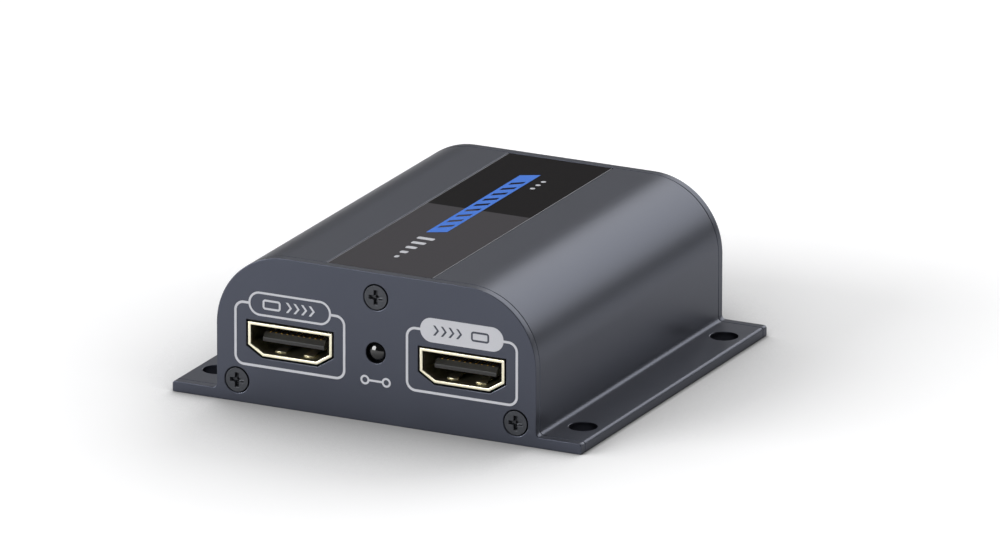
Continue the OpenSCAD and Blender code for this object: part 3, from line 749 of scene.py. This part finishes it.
def unit_blank(from_y, to_y):
    """The unit's outline between two planes: rounded shoulders over a flat base with two flanges."""
    s = housing_sizes()
    low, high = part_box("housing")
    side = high.x - s.flange_w
    piece = block((-side, from_y, low.z), (side, to_y, high.z))
    with Editing(piece) as edit:
        edit.pick("EDGE", lambda e: runs_along(e, Y) and close(middle(e).z, high.z))
        bpy.ops.mesh.bevel(offset=s.shoulder_r, segments=s.arc_steps, clamp_overlap=False)
        edit.bisect((0, 0, s.flange_t), (0, 0, 1))
        for way in (-1, 1):
            edit.pick("FACE", lambda f: f.normal.x * way > 0.9 and middle(f).z < s.flange_t)
            bpy.ops.mesh.extrude_region_move(TRANSFORM_OT_translate={"value": (way * s.flange_w, 0, 0)})
        edit.merge_flat_faces()
        edit.pick("EDGE", lambda e: runs_along(e, Y) and close(abs(middle(e).x), side) and close(middle(e).z, s.flange_t))
        bpy.ops.mesh.bevel(offset=s.flange_fillet, segments=8, clamp_overlap=False)
        for height, radius in ((s.flange_t, s.flange_edge), (low.z, s.flange_base)):
            edit.pick("EDGE", lambda e: runs_along(e, Y) and close(abs(middle(e).x), high.x) and close(middle(e).z, height))
            bpy.ops.mesh.bevel(offset=radius, segments=8, clamp_overlap=False)
    return piece


def cavity():
    """What the housing is hollow by: its inside, less the screw channels and the board's rails."""
    s = housing_sizes()
    low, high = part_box("housing")
    inner = high.x - s.flange_w - s.wall_t
    over = 1 * MM
    from_y, to_y = low.y - over, high.y + over
    board_low, board_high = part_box("circuit_board")
    hollow = block((-inner, from_y, s.floor_t), (inner, to_y, high.z - s.wall_t))
    with Editing(hollow) as edit:
        edit.pick("EDGE", lambda e: runs_along(e, Y) and close(middle(e).z, high.z - s.wall_t))
        bpy.ops.mesh.bevel(offset=s.shoulder_r - s.wall_t, segments=s.arc_steps, clamp_overlap=False)
    for x, z in screw_places():
        cut(hollow, rod((x, from_y - over, z), (x, to_y + over, z), s.channel_r))
    top_z = screw_places()[2][1]
    cut(hollow, block((-s.channel_r, from_y - over, top_z), (s.channel_r, to_y + over, high.z)))
    for way in (-1, 1):
        edge, rail = way * (inner + over), way * (inner - s.rail_w)
        for base in (board_low.z - s.rail_t, board_high.z + s.slot_gap):
            cut(hollow, block((min(edge, rail), from_y - over, base), (max(edge, rail), to_y + over, base + s.rail_t)))
    return hollow


class ExtenderHousing(bpy.types.Operator):
    """Extruded housing with its flanges, label recess, channels and rails"""

    bl_idname = "extender.housing"
    bl_label = "Housing"

    def execute(self, context):
        s = housing_sizes()
        low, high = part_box("housing")
        label_low, label_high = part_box("top_label")
        piece = unit_blank(low.y, high.y)
        cut(piece, cavity())
        over = 1 * MM
        for x, z in screw_places():
            cut(piece, rod((x, low.y - over, z), (x, high.y + over, z), s.thread_r, sides=48))
        cut(
            piece,
            block(
                (label_low.x - s.label_gap, low.y - over, high.z - s.recess),
                (label_high.x + s.label_gap, high.y + over, high.z + over),
            ),
        )
        hole_x, hole_y = high.x - s.hole_edge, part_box("rear_plate")[1].y - s.hole_end
        for x in (-hole_x, hole_x):
            for y in (-hole_y, hole_y):
                cut(piece, rod((x, y, -over), (x, y, s.flange_t + over), s.hole_r))
        soften(piece, s.edge_round)
        done(piece, "housing_shell", "anodised_aluminium", "housing")
        return {"FINISHED"}


def video_block(x, grow, from_y, to_y):
    """A block with a video opening's section, grown all round: flat top, short sides, sloping corners."""
    f = fitting_sizes()
    shell_low, shell_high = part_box("video_in_shell")
    roof = shell_high.z - f.video_wall
    base = roof - f.video_h
    half = f.video_w / 2
    piece = block((x - half - grow, from_y, base - grow), (x + half + grow, to_y, roof + grow))
    slope = Vector((f.video_h - f.video_side, 0, -(f.video_w - f.video_floor_w) / 2)).normalized()
    with Editing(piece) as edit:
        for way in (-1, 1):
            normal = Vector((slope.x * way, 0, slope.z))
            corner = Vector((x + way * f.video_floor_w / 2, 0, base)) + normal * grow
            edit.bisect(corner, normal, keep_inner=True)
    return piece


def turned(x, z, y, way, steps):
    """A bar turned on an axis along Y: each step gives its length and the radius at its end."""
    (first, radius), *others = steps
    piece = rod((x, y, z), (x, y + way * first, z), radius)
    with Editing(piece) as edit:
        edit.pick("FACE", lambda face: face.normal.y * way > 0.9)
        for step, end_radius in others:
            scale = end_radius / radius
            bpy.ops.mesh.extrude_region_move(TRANSFORM_OT_translate={"value": (0, way * step, 0)})
            bpy.ops.transform.resize(value=(scale, 1, scale), center_override=(x, 0, z))
            radius = end_radius
    return piece


def screw_cutters(face_y, way):
    """Countersinks and through holes for the three screws, from the plate's face inwards."""
    f, s = fitting_sizes(), housing_sizes()
    over = 1 * MM
    plate_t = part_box("front_plate")[1].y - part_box("front_plate")[0].y
    rim_r, hole_r = f.head_r + f.head_gap, s.thread_r + 0.1 * MM
    for x, z in screw_places():
        yield turned(
            x, z, face_y - way * over, way,
            ((over + f.head_rim, rim_r), (rim_r - hole_r, hole_r), (plate_t, hole_r)),
        )


class ExtenderFrontPlate(bpy.types.Operator):
    """Front plate with its countersinks, two video openings and the light's hole"""

    bl_idname = "extender.front_plate"
    bl_label = "Front plate"

    def execute(self, context):
        s, f = housing_sizes(), fitting_sizes()
        low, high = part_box("front_plate")
        over = 1 * MM
        piece = unit_blank(low.y + mark_sizes().ink_t, high.y - s.seam)
        cut(piece, *screw_cutters(low.y, 1))
        for node in ("video_out_shell", "video_in_shell"):
            cut(piece, video_block(box_middle(node).x, f.video_wall + s.cutout_gap, low.y - over, high.y + over))
        light = box_middle("link_light")
        cut(piece, rod((light.x, low.y - over, light.z), (light.x, high.y + over, light.z), f.lens_r + f.lens_gap))
        soften(piece, s.edge_round)
        done(piece, "front_cover", "anodised_aluminium", "front_plate")
        return {"FINISHED"}


class ExtenderRearPlate(bpy.types.Operator):
    """Rear plate with its countersinks and the openings for the rear sockets"""

    bl_idname = "extender.rear_plate"
    bl_label = "Rear plate"

    def execute(self, context):
        s, f = housing_sizes(), fitting_sizes()
        low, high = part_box("rear_plate")
        over = 1 * MM
        from_y, to_y = low.y - over, high.y + over
        piece = unit_blank(low.y + s.seam, high.y)
        cut(piece, *screw_cutters(high.y, -1))
        net_low, net_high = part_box("network_jack_shield")
        cut(
            piece,
            block(
                (net_low.x - s.cutout_gap, from_y, board_top() - s.cutout_gap),
                (net_high.x + s.cutout_gap, to_y, net_high.z + s.cutout_gap),
            ),
        )
        power, infrared = box_middle("power_jack_body"), box_middle("infrared_jack_body")
        button, light = box_middle("reset_button"), box_middle("power_light")
        for x, z, r in (
            (power.x, board_top() + f.power_rise, f.power_nose_r + s.cutout_gap),
            (infrared.x, infrared.z, f.infrared_nose_r + s.cutout_gap),
            (button.x, button.z, f.stem_r + f.button_gap),
            (light.x, light.z, f.lens_r + f.lens_gap),
        ):
            cut(piece, rod((x, from_y, z), (x, to_y, z), r))
        soften(piece, s.edge_round)
        done(piece, "rear_cover", "anodised_aluminium", "rear_plate")
        return {"FINISHED"}


def cross_cutter(x, y, z, way):
    """A cross recess that narrows towards its floor, with a point in the middle."""
    f = fitting_sizes()
    over = 0.2 * MM
    arms = []
    for w, h in ((f.cross_len, f.cross_w), (f.cross_w, f.cross_len)):
        face, floor = y - way * over, y + way * f.cross_deep
        arm = block((x - w / 2, min(face, floor), z - h / 2), (x + w / 2, max(face, floor), z + h / 2))
        with Editing(arm) as edit:
            edit.pick("VERT", lambda v: close(v.co.y, floor))
            bpy.ops.transform.resize(value=(0.78, 1, 0.78), center_override=(x, floor, z))
        arms.append(arm)
    point = rod((x, y - way * over, z), (x, y + way * (f.cross_deep + 0.3 * MM), z), f.cross_w * 0.95, 0.1 * MM, sides=24)
    return [*arms, point]


def plate_screw(x, z, face_y, tip_y):
    """A countersunk screw: flat head with a cross recess, cone, shank and a blunt tip."""
    f = fitting_sizes()
    way = 1 if tip_y > face_y else -1
    cone, tip = f.head_r - f.screw_r, 0.4 * MM
    shank = abs(tip_y - face_y) - f.head_rim - cone - tip
    piece = turned(
        x, z, face_y, way,
        ((f.head_rim, f.head_r), (cone, f.screw_r), (shank, f.screw_r), (tip, f.screw_r * 0.7)),
    )
    cut(piece, *cross_cutter(x, face_y, z, way))
    return soften(piece, 0.05 * MM, 2)


class ExtenderScrews(bpy.types.Operator):
    """The six countersunk screws that hold the plates"""

    bl_idname = "extender.screws"
    bl_label = "Plate screws"

    def execute(self, context):
        for node in ("front_screws", "rear_screws"):
            low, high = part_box(node)
            face_y, tip_y = (low.y, high.y) if node == "front_screws" else (high.y, low.y)
            first_x, first_z = screw_places()[0]
            first = plate_screw(first_x, first_z, face_y, tip_y)
            for number, (x, z) in enumerate(screw_places()[1:], 2):
                hold(first)
                bpy.ops.object.duplicate(linked=False)
                bpy.ops.transform.translate(value=(x - first_x, 0, z - first_z))
                done(settle(bpy.context.object), f"{node}_{number}", "screw_steel", node)
            done(first, f"{node}_1", "screw_steel", node)
        return {"FINISHED"}


class ExtenderLabel(bpy.types.Operator):
    """The film label in its recess"""

    bl_idname = "extender.label"
    bl_label = "Top label"

    def execute(self, context):
        low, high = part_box("top_label")
        piece = panel(low, high, 0.4 * MM, Z)
        soften(piece, 0.04 * MM, 2)
        done(piece, "label_sheet", "label_film", "top_label")
        return {"FINISHED"}


def panel(low, high, radius, axis, steps=12):
    """A flat panel with rounded corners, seen along the axis."""
    piece = block(low, high)
    with Editing(piece) as edit:
        edit.pick("EDGE", lambda e: runs_along(e, axis))
        bpy.ops.mesh.bevel(offset=radius, segments=steps, clamp_overlap=False)
    return piece


def ring_panel(low, high, radius, line, axis):
    """The outline of a panel, as a line of even width."""
    low, high = Vector(low), Vector(high)
    inset = Vector([0 if a == axis else line for a in (X, Y, Z)])
    over = Vector([1 * MM if a == axis else 0 for a in (X, Y, Z)])
    return cut(panel(low, high, radius, axis), panel(low + inset - over, high - inset + over, radius - line, axis))


def chevron(low, high, reach, across, along):
    """A bent bar whose middle stands forward by reach: the bar runs across, and points along."""
    low, high = Vector(low), Vector(high)
    piece = block(low, high)
    bend = (low[across] + high[across]) / 2
    with Editing(piece) as edit:
        edit.bisect((low + high) / 2, Vector([a == across for a in (X, Y, Z)]))
        edit.pick("VERT", lambda v: close(v.co[across], bend))
        bpy.ops.transform.translate(value=[reach if a == along else 0 for a in (X, Y, Z)])
    return piece


def signs(middle_x, middle_z, from_y, to_y, leaving):
    """A screen with four chevrons that leave it or lead to it."""
    m = mark_sizes()
    half, line = m.sign_h / 2, m.sign_line
    screen_w, step = m.sign_h * 1.9, m.sign_h * 0.8
    screen_x = middle_x + (-1 if leaving else 1) * m.sign_h * 1.9
    made = [
        ring_panel(
            (screen_x - screen_w / 2, from_y, middle_z - half),
            (screen_x + screen_w / 2, to_y, middle_z + half),
            0.5 * MM,
            line,
            Y,
        )
    ]
    start = middle_x + (-0.4 if leaving else -3) * m.sign_h
    for place in range(4):
        x = start + place * step
        made.append(
            chevron((x, from_y, middle_z - half), (x + line * 1.2, to_y, middle_z + half), half * 0.8, Z, X)
        )
    return made


class ExtenderFrontMarks(bpy.types.Operator):
    """Printed frames round the video sockets, their tabs and signs, and the light's sign"""

    bl_idname = "extender.front_marks"
    bl_label = "Front marks"

    def execute(self, context):
        m = mark_sizes()
        face_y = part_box("front_plate")[0].y
        under_y, over = face_y + m.ink_t * 1.5, 1 * MM
        made = []
        for node, filled in (("video_out_shell", False), ("video_in_shell", True)):
            x = box_middle(node).x
            frame_low = Vector((x - m.frame_w / 2, face_y, m.frame_low))
            frame_high = Vector((x + m.frame_w / 2, under_y, m.frame_high))
            tab_low = Vector((x - m.tab_w / 2, face_y, m.tab_low))
            tab_high = Vector((x + m.tab_w / 2, under_y, m.tab_high))
            tab_r = (m.tab_high - m.tab_low) / 2 - 0.02 * MM
            line = ring_panel(frame_low, frame_high, m.frame_r, m.frame_line, Y)
            gap = Vector((0, over, 0))
            cut(line, panel(tab_low - gap, tab_high + gap, tab_r, Y))
            made.append(line)
            tab_z = (m.tab_low + m.tab_high) / 2
            if filled:
                tab = panel(tab_low, tab_high, tab_r, Y)
                made.append(cut(tab, *signs(x, tab_z, face_y - over, under_y + over, leaving=False)))
            else:
                made.append(ring_panel(tab_low, tab_high, tab_r, m.frame_line * 0.85, Y))
                made.extend(signs(x, tab_z, face_y, under_y, leaving=True))
        made.extend(link_sign(face_y, under_y))
        done(join(*made), "front_marks", "print_ink")
        return {"FINISHED"}


def link_sign(from_y, to_y):
    """Two rings joined by a bar, under the link light."""
    m = mark_sizes()
    z, r, apart = 7.0 * MM, 0.8 * MM, 1.9 * MM
    for x in (-apart, apart):
        ring = rod((x, from_y, z), (x, to_y, z), r, sides=40)
        yield cut(ring, rod((x, from_y - r, z), (x, to_y + r, z), r - m.sign_line, sides=40))
    yield block((-apart + r, from_y, z - m.sign_line / 2), (apart - r, to_y, z + m.sign_line / 2))


class ExtenderLabelMarks(bpy.types.Operator):
    """Printed marks on the label: a coloured band with slanted bars, and a row of level bars"""

    bl_idname = "extender.label_marks"
    bl_label = "Label marks"

    def execute(self, context):
        m = mark_sizes()
        label_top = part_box("top_label")[1].z
        low_z, high_z, over = label_top - m.ink_t / 2, label_top + m.ink_t, 1 * MM
        left, right = -m.band_x - m.band_w / 2, -m.band_x + m.band_w / 2
        band = block((left, -11.5 * MM, low_z), (right, 22.5 * MM, high_z))
        with Editing(band) as edit:
            edit.pick("VERT", lambda v: v.co.x > -m.band_x)
            bpy.ops.transform.translate(value=(0, 1.6 * MM, 0))
        for number in range(9):
            y = (-8.6 + number * 3.2) * MM
            bar = block((left + 0.55 * MM, y, low_z - over), (right - 0.55 * MM, y + 1.2 * MM, high_z + over))
            with Editing(bar) as edit:
                edit.pick("VERT", lambda v: v.co.x > -m.band_x)
                bpy.ops.transform.translate(value=(0, 1.6 * MM, 0))
            cut(band, bar)
        done(band, "label_band", "band_ink", slot="print_ink")
        bars = []
        for number in range(5):
            y = (-25.5 + number * 2.6) * MM
            reach = (0.25 + 0.1875 * number) * m.band_w / 2
            bars.append(
                panel((-m.band_x - reach, y, low_z), (-m.band_x + reach, y + 1.1 * MM, high_z), 0.3 * MM, Z, 4)
            )
        for number in range(3):
            bars.append(rod((2.6 * MM, (17 + number * 2) * MM, low_z), (2.6 * MM, (17 + number * 2) * MM, high_z), 0.42 * MM, sides=24))
        done(join(*bars), "label_bars", "print_ink")
        return {"FINISHED"}


def leaf_spring(x, wall_z, inward, from_y, to_y):
    """A spring of the shell that bulges into the opening."""
    half, sheet = 0.9 * MM, 0.2 * MM
    bulge_y = from_y + (to_y - from_y) * 0.4
    low_z, high_z = sorted((wall_z - inward * 0.05 * MM, wall_z + inward * sheet))
    piece = block((x - half, from_y, low_z), (x + half, to_y, high_z))
    with Editing(piece) as edit:
        edit.bisect((x, bulge_y, wall_z), (0, 1, 0))
        edit.pick("VERT", lambda v: close(v.co.y, bulge_y))
        bpy.ops.transform.translate(value=(0, 0, inward * 0.28 * MM))
        edit.pick("EDGE", lambda e: runs_along(e, X) and close(middle(e).y, bulge_y))
        bpy.ops.mesh.bevel(offset=1.0 * MM, segments=6, clamp_overlap=False)
    return piece


class ExtenderVideoSockets(bpy.types.Operator):
    """The two video sockets: shells with springs, inserts with their tongues, and contacts"""

    bl_idname = "extender.video_sockets"
    bl_label = "Video sockets"

    def execute(self, context):
        f = fitting_sizes()
        over = 1 * MM
        for side in ("video_out", "video_in"):
            low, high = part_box(f"{side}_shell")
            x = (low.x + high.x) / 2
            roof = high.z - f.video_wall
            base = roof - f.video_h
            shell = video_block(x, f.video_wall, low.y, high.y)
            cut(shell, video_block(x, 0, low.y - over, high.y + over))
            soften(shell, 0.12 * MM)
            made = [shell]
            for way in (-1, 1):
                leg_x = x + way * (f.video_w + f.video_wall) / 2
                for leg_y in (low.y + 2.6 * MM, high.y - 2.6 * MM):
                    leg = block(
                        (leg_x - f.video_wall / 2, leg_y - 0.8 * MM, low.z),
                        (leg_x + f.video_wall / 2, leg_y + 0.8 * MM, base + f.video_h / 2),
                    )
                    made.append(soften(leg, 0.05 * MM, 2))
                for wall_z, inward, off in ((roof, -1, 3.1 * MM), (base, 1, 2.5 * MM)):
                    spring = leaf_spring(x + way * off, wall_z, inward, low.y + 1.8 * MM, low.y + 6.5 * MM)
                    made.append(smooth(spring))
            done(join(*made), f"{side}_socket_shell", "socket_metal", f"{side}_shell")
            done(rounded_copy(f"{side}_insert", 0.08 * MM), f"{side}_tongue_block", "black_plastic", f"{side}_insert")
        return {"FINISHED"}


def domed_lens(x, z, tip_y, back_y):
    """A round lens: a polished dome on a barrel, with a flange at its back."""
    f = fitting_sizes()
    way = 1 if back_y > tip_y else -1
    centre = Vector((x, tip_y + way * f.lens_dome, z))
    bpy.ops.object.select_all(action="DESELECT")
    bpy.ops.mesh.primitive_uv_sphere_add(segments=64, ring_count=32, radius=f.lens_r, location=centre)
    piece = bpy.context.object
    piece.scale.y = f.lens_dome / f.lens_r
    settle(piece)
    with Editing(piece) as edit:
        edit.bisect(centre, (0, way, 0), keep_inner=True)
        edit.pick("FACE", lambda face: face.normal.y * way > 0.99 and close(middle(face).y, centre.y))
        barrel = abs(back_y - centre.y) - f.lens_flange_t
        bpy.ops.mesh.extrude_region_move(TRANSFORM_OT_translate={"value": (0, way * barrel, 0)})
        grown = (f.lens_r + f.lens_flange) / f.lens_r
        bpy.ops.mesh.extrude_region_move()
        bpy.ops.transform.resize(value=(grown, 1, grown), center_override=(x, 0, z))
        bpy.ops.mesh.extrude_region_move(TRANSFORM_OT_translate={"value": (0, way * f.lens_flange_t, 0)})
    return soften(piece, 0.06 * MM, 2)


class ExtenderLights(bpy.types.Operator):
    """The link light in front and the power light at the back"""

    bl_idname = "extender.lights"
    bl_label = "Lights"

    def execute(self, context):
        for node, finish in (("link_light", "dark_lens"), ("power_light", "red_lens")):
            low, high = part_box(node)
            tip_y, back_y = (low.y, high.y) if node == "link_light" else (high.y, low.y)
            lens = domed_lens((low.x + high.x) / 2, (low.z + high.z) / 2, tip_y, back_y)
            done(lens, f"{node}_lens", finish, node)
        return {"FINISHED"}


class ExtenderResetButton(bpy.types.Operator):
    """The reset button: nub, rim and a stem with a dished face, and a copy of the snap dome under it"""

    bl_idname = "extender.reset_button"
    bl_label = "Reset button"

    def execute(self, context):
        f = fitting_sizes()
        low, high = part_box("reset_button")
        x, z = (low.x + high.x) / 2, (low.z + high.z) / 2
        rim_r = (high.x - low.x) / 2
        cover_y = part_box("reset_switch_cover")[1].y - 0.35 * MM
        rim_y = cover_y - f.rim_t
        stem = rod((x, rim_y, z), (x, high.y, z), f.stem_r)
        with Editing(stem) as edit:
            edit.pick("FACE", lambda face: face.normal.y > 0.9)
            bpy.ops.mesh.inset(thickness=0.35 * MM)
            bpy.ops.transform.translate(value=(0, -0.12 * MM, 0))
            bpy.ops.mesh.inset(thickness=0.6 * MM)
            bpy.ops.transform.translate(value=(0, -0.06 * MM, 0))
        soften(stem, 0.12 * MM)
        rim = soften(rod((x, rim_y, z), (x, cover_y, z), rim_r), 0.08 * MM, 2)
        nub = soften(rod((x, low.y, z), (x, rim_y + f.rim_t / 2, z), f.nub_r), 0.1 * MM, 2)
        done(join(stem, rim, nub), "reset_key", "button_plastic", "reset_button", body="button")
        dome = rounded_copy("reset_switch_dome", 0.015 * MM, 1)
        done(dome, "snap_dome", "tinned_metal", "reset_switch_dome")
        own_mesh(dome)
        return {"FINISHED"}


class ExtenderRearSockets(bpy.types.Operator):
    """The network, power and infrared sockets in the rear plate"""

    bl_idname = "extender.rear_sockets"
    bl_label = "Rear sockets"

    def execute(self, context):
        for node, finish, width in (
            ("network_jack_body", "black_plastic", 0.1),
            ("network_jack_shield", "tinned_metal", 0.08),
            ("network_jack_lights", "jack_light_lens", 0.15),
            ("network_jack_contacts", "contact_gold", 0.04),
            ("power_jack_body", "black_plastic", 0.15),
            ("power_jack_pin", "socket_metal", 0.12),
            ("infrared_jack_body", "black_plastic", 0.12),
            ("reset_switch_cover", "tinned_metal", 0.06),
        ):
            done(rounded_copy(node, width * MM), f"{node}_piece", finish, node)
        return {"FINISHED"}


class ExtenderBoardParts(bpy.types.Operator):
    """Finishes of the circuit board and the parts on it"""

    bl_idname = "extender.board_parts"
    bl_label = "Board and its parts"

    def execute(self, context):
        for node, width in (
            ("heat_sink", 0.1),
            ("transmitter_chip", 0.1),
            ("splitter_chip", 0.1),
            ("memory_chip", 0.12),
            ("microcontroller", 0.1),
            ("network_transformer", 0.25),
            ("power_inductor", 0.4),
            ("filter_capacitors", 0.35),
            ("capacitor_bases", 0.12),
            ("voltage_regulators", 0.15),
            ("protection_diode", 0.15),
            ("crystals", 0.2),
        ):
            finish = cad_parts[node].data.materials[0].name
            done(rounded_copy(node, width * MM), f"{node}_piece", finish, node)
        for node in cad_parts.values():
            if not node.hide_render:
                node.material_slots[0].material = material(node.material_slots[0].material.name)
        return {"FINISHED"}


def soft_sun(name, around, height, strength, width):
    """A wide, far light at an angle around from +X and an angle of height over the floor, in degrees."""
    lamp = bpy.data.lights.new(name, "SUN")
    lamp.energy, lamp.angle = strength * math.pi, math.radians(width)
    around, height = math.radians(around), math.radians(height)
    towards = Vector((math.cos(around) * math.cos(height), math.sin(around) * math.cos(height), math.sin(height)))
    holder = bpy.data.objects.new(name, lamp)
    holder.rotation_euler = (-towards).to_track_quat("-Z", "Y").to_euler()
    bpy.context.scene.collection.objects.link(holder)


class ExtenderStage(bpy.types.Operator):
    """Pale floor, soft studio light and the camera"""

    bl_idname = "extender.stage"
    bl_label = "Stage"

    def execute(self, context):
        stage = context.scene.stage_settings
        bpy.ops.object.select_all(action="DESELECT")
        bpy.ops.mesh.primitive_plane_add(size=stage.floor_w, location=(0, 0, 0))
        floor = bpy.context.object
        floor.name = "floor"
        floor.data.materials.append(self.floor_finish())
        self.light_room(context)
        self.place_camera(context, stage)
        context.scene.view_settings.view_transform = "Standard"
        return {"FINISHED"}

    def floor_finish(self):
        """A pale floor that looks white where no shadow falls and darkens in a painted shade from ambient occlusion
        around the unit, but throws little light back at the unit.
        """
        pale = tuple(colours().floor)
        finish = Finish("floor_paint", pale, 0.9, Specular_IOR_Level=0.0, Emission_Strength=1.0)
        looked_at = finish.node("ShaderNodeLightPath", output="Is Camera Ray")
        for way in ("Is Glossy Ray", "Is Transmission Ray"):
            looked_at = looked_at.maths("MAXIMUM", looked_at, finish.node("ShaderNodeLightPath", output=way))
        # Painted shade: ambient occlusion darkens the floor's colour and its glow near the unit, as camera and glossy
        # rays see it.
        painted_contact_shade = finish.node(
            "ShaderNodeAmbientOcclusion", {"samples": 16}, {"Distance": 0.06}, output="AO"
        )
        open_floor = looked_at * painted_contact_shade**2.6
        finish.give("Base Color", finish.mix(open_floor, tinted(pale, 0.3), pale))
        finish.give("Emission Color", finish.mix(open_floor, (0, 0, 0), (0.36, 0.36, 0.36)))
        clouds = finish.noise(0.5, detail=1)
        finish.give("Roughness", 0.86 + clouds * 0.06)
        return finish.material

    def light_room(self, context):
        """A low key light at the front left, and two behind that draw the gloss along the shoulders."""
        world = bpy.data.worlds.new("room")
        world.use_nodes = True
        sky = world.node_tree.nodes["Background"]
        sky.inputs["Color"].default_value = (1, 1, 1, 1)
        sky.inputs["Strength"].default_value = 0.05
        context.scene.world = world
        soft_sun("key_light", 225, 14, 1.05, 38)
        soft_sun("back_light", 82, 24, 0.42, 46)
        soft_sun("top_light", 130, 36, 0.12, 38)
        soft_sun("side_light", 30, 20, 0.04, 38)
        soft_sun("high_light", 225, 80, 0.28, 38)

    def place_camera(self, context, stage):
        back = Vector(
            (
                math.sin(stage.yaw) * math.cos(stage.pitch),
                -math.cos(stage.yaw) * math.cos(stage.pitch),
                math.sin(stage.pitch),
            )
        )
        level_right = (-back).cross(Vector((0, 0, 1))).normalized()
        level_up = back.cross(level_right)
        right = math.cos(stage.roll) * level_right + math.sin(stage.roll) * level_up
        up = -math.sin(stage.roll) * level_right + math.cos(stage.roll) * level_up
        lens = bpy.data.cameras.new("camera")
        lens.lens, lens.sensor_width, lens.sensor_fit = stage.lens, 36, "HORIZONTAL"
        lens.clip_start, lens.clip_end = 0.05, 12
        camera = bpy.data.objects.new("camera", lens)
        turned = Matrix((right, up, back)).transposed().to_4x4()
        camera.matrix_world = Matrix.Translation(Vector(stage.target) + back * stage.distance) @ turned
        context.scene.collection.objects.link(camera)
        context.scene.camera = camera


STEPS = (
    ExtenderHousing,
    ExtenderFrontPlate,
    ExtenderRearPlate,
    ExtenderScrews,
    ExtenderLabel,
    ExtenderFrontMarks,
    ExtenderLabelMarks,
    ExtenderVideoSockets,
    ExtenderLights,
    ExtenderResetButton,
    ExtenderRearSockets,
    ExtenderBoardParts,
    ExtenderStage,
)
SETTINGS = {
    "housing_sizes": HousingSizes,
    "fitting_sizes": FittingSizes,
    "mark_sizes": MarkSizes,
    "unit_colours": UnitColours,
    "stage_settings": StageSettings,
}


class VIEW3D_PT_extender(bpy.types.Panel):
    """Lists the steps that build the unit"""

    bl_idname = "VIEW3D_PT_extender"
    bl_label = "Video extender"
    bl_space_type = "VIEW_3D"
    bl_region_type = "UI"
    bl_category = "Extender"

    def draw(self, context):
        column = self.layout.column(align=True)
        for step in STEPS:
            column.operator(step.bl_idname)


def register():
    for name, group in SETTINGS.items():
        bpy.utils.register_class(group)
        setattr(bpy.types.Scene, name, bpy.props.PointerProperty(type=group))
    for step in STEPS:
        bpy.utils.register_class(step)
    bpy.utils.register_class(VIEW3D_PT_extender)


def unregister():
    bpy.utils.unregister_class(VIEW3D_PT_extender)
    for step in reversed(STEPS):
        bpy.utils.unregister_class(step)
    for name, group in SETTINGS.items():
        delattr(bpy.types.Scene, name)
        bpy.utils.unregister_class(group)


def main():
    register()
    for step in STEPS:
        group, name = step.bl_idname.split(".")
        getattr(getattr(bpy.ops, group), name)()


if __name__ == "__main__":
    main()
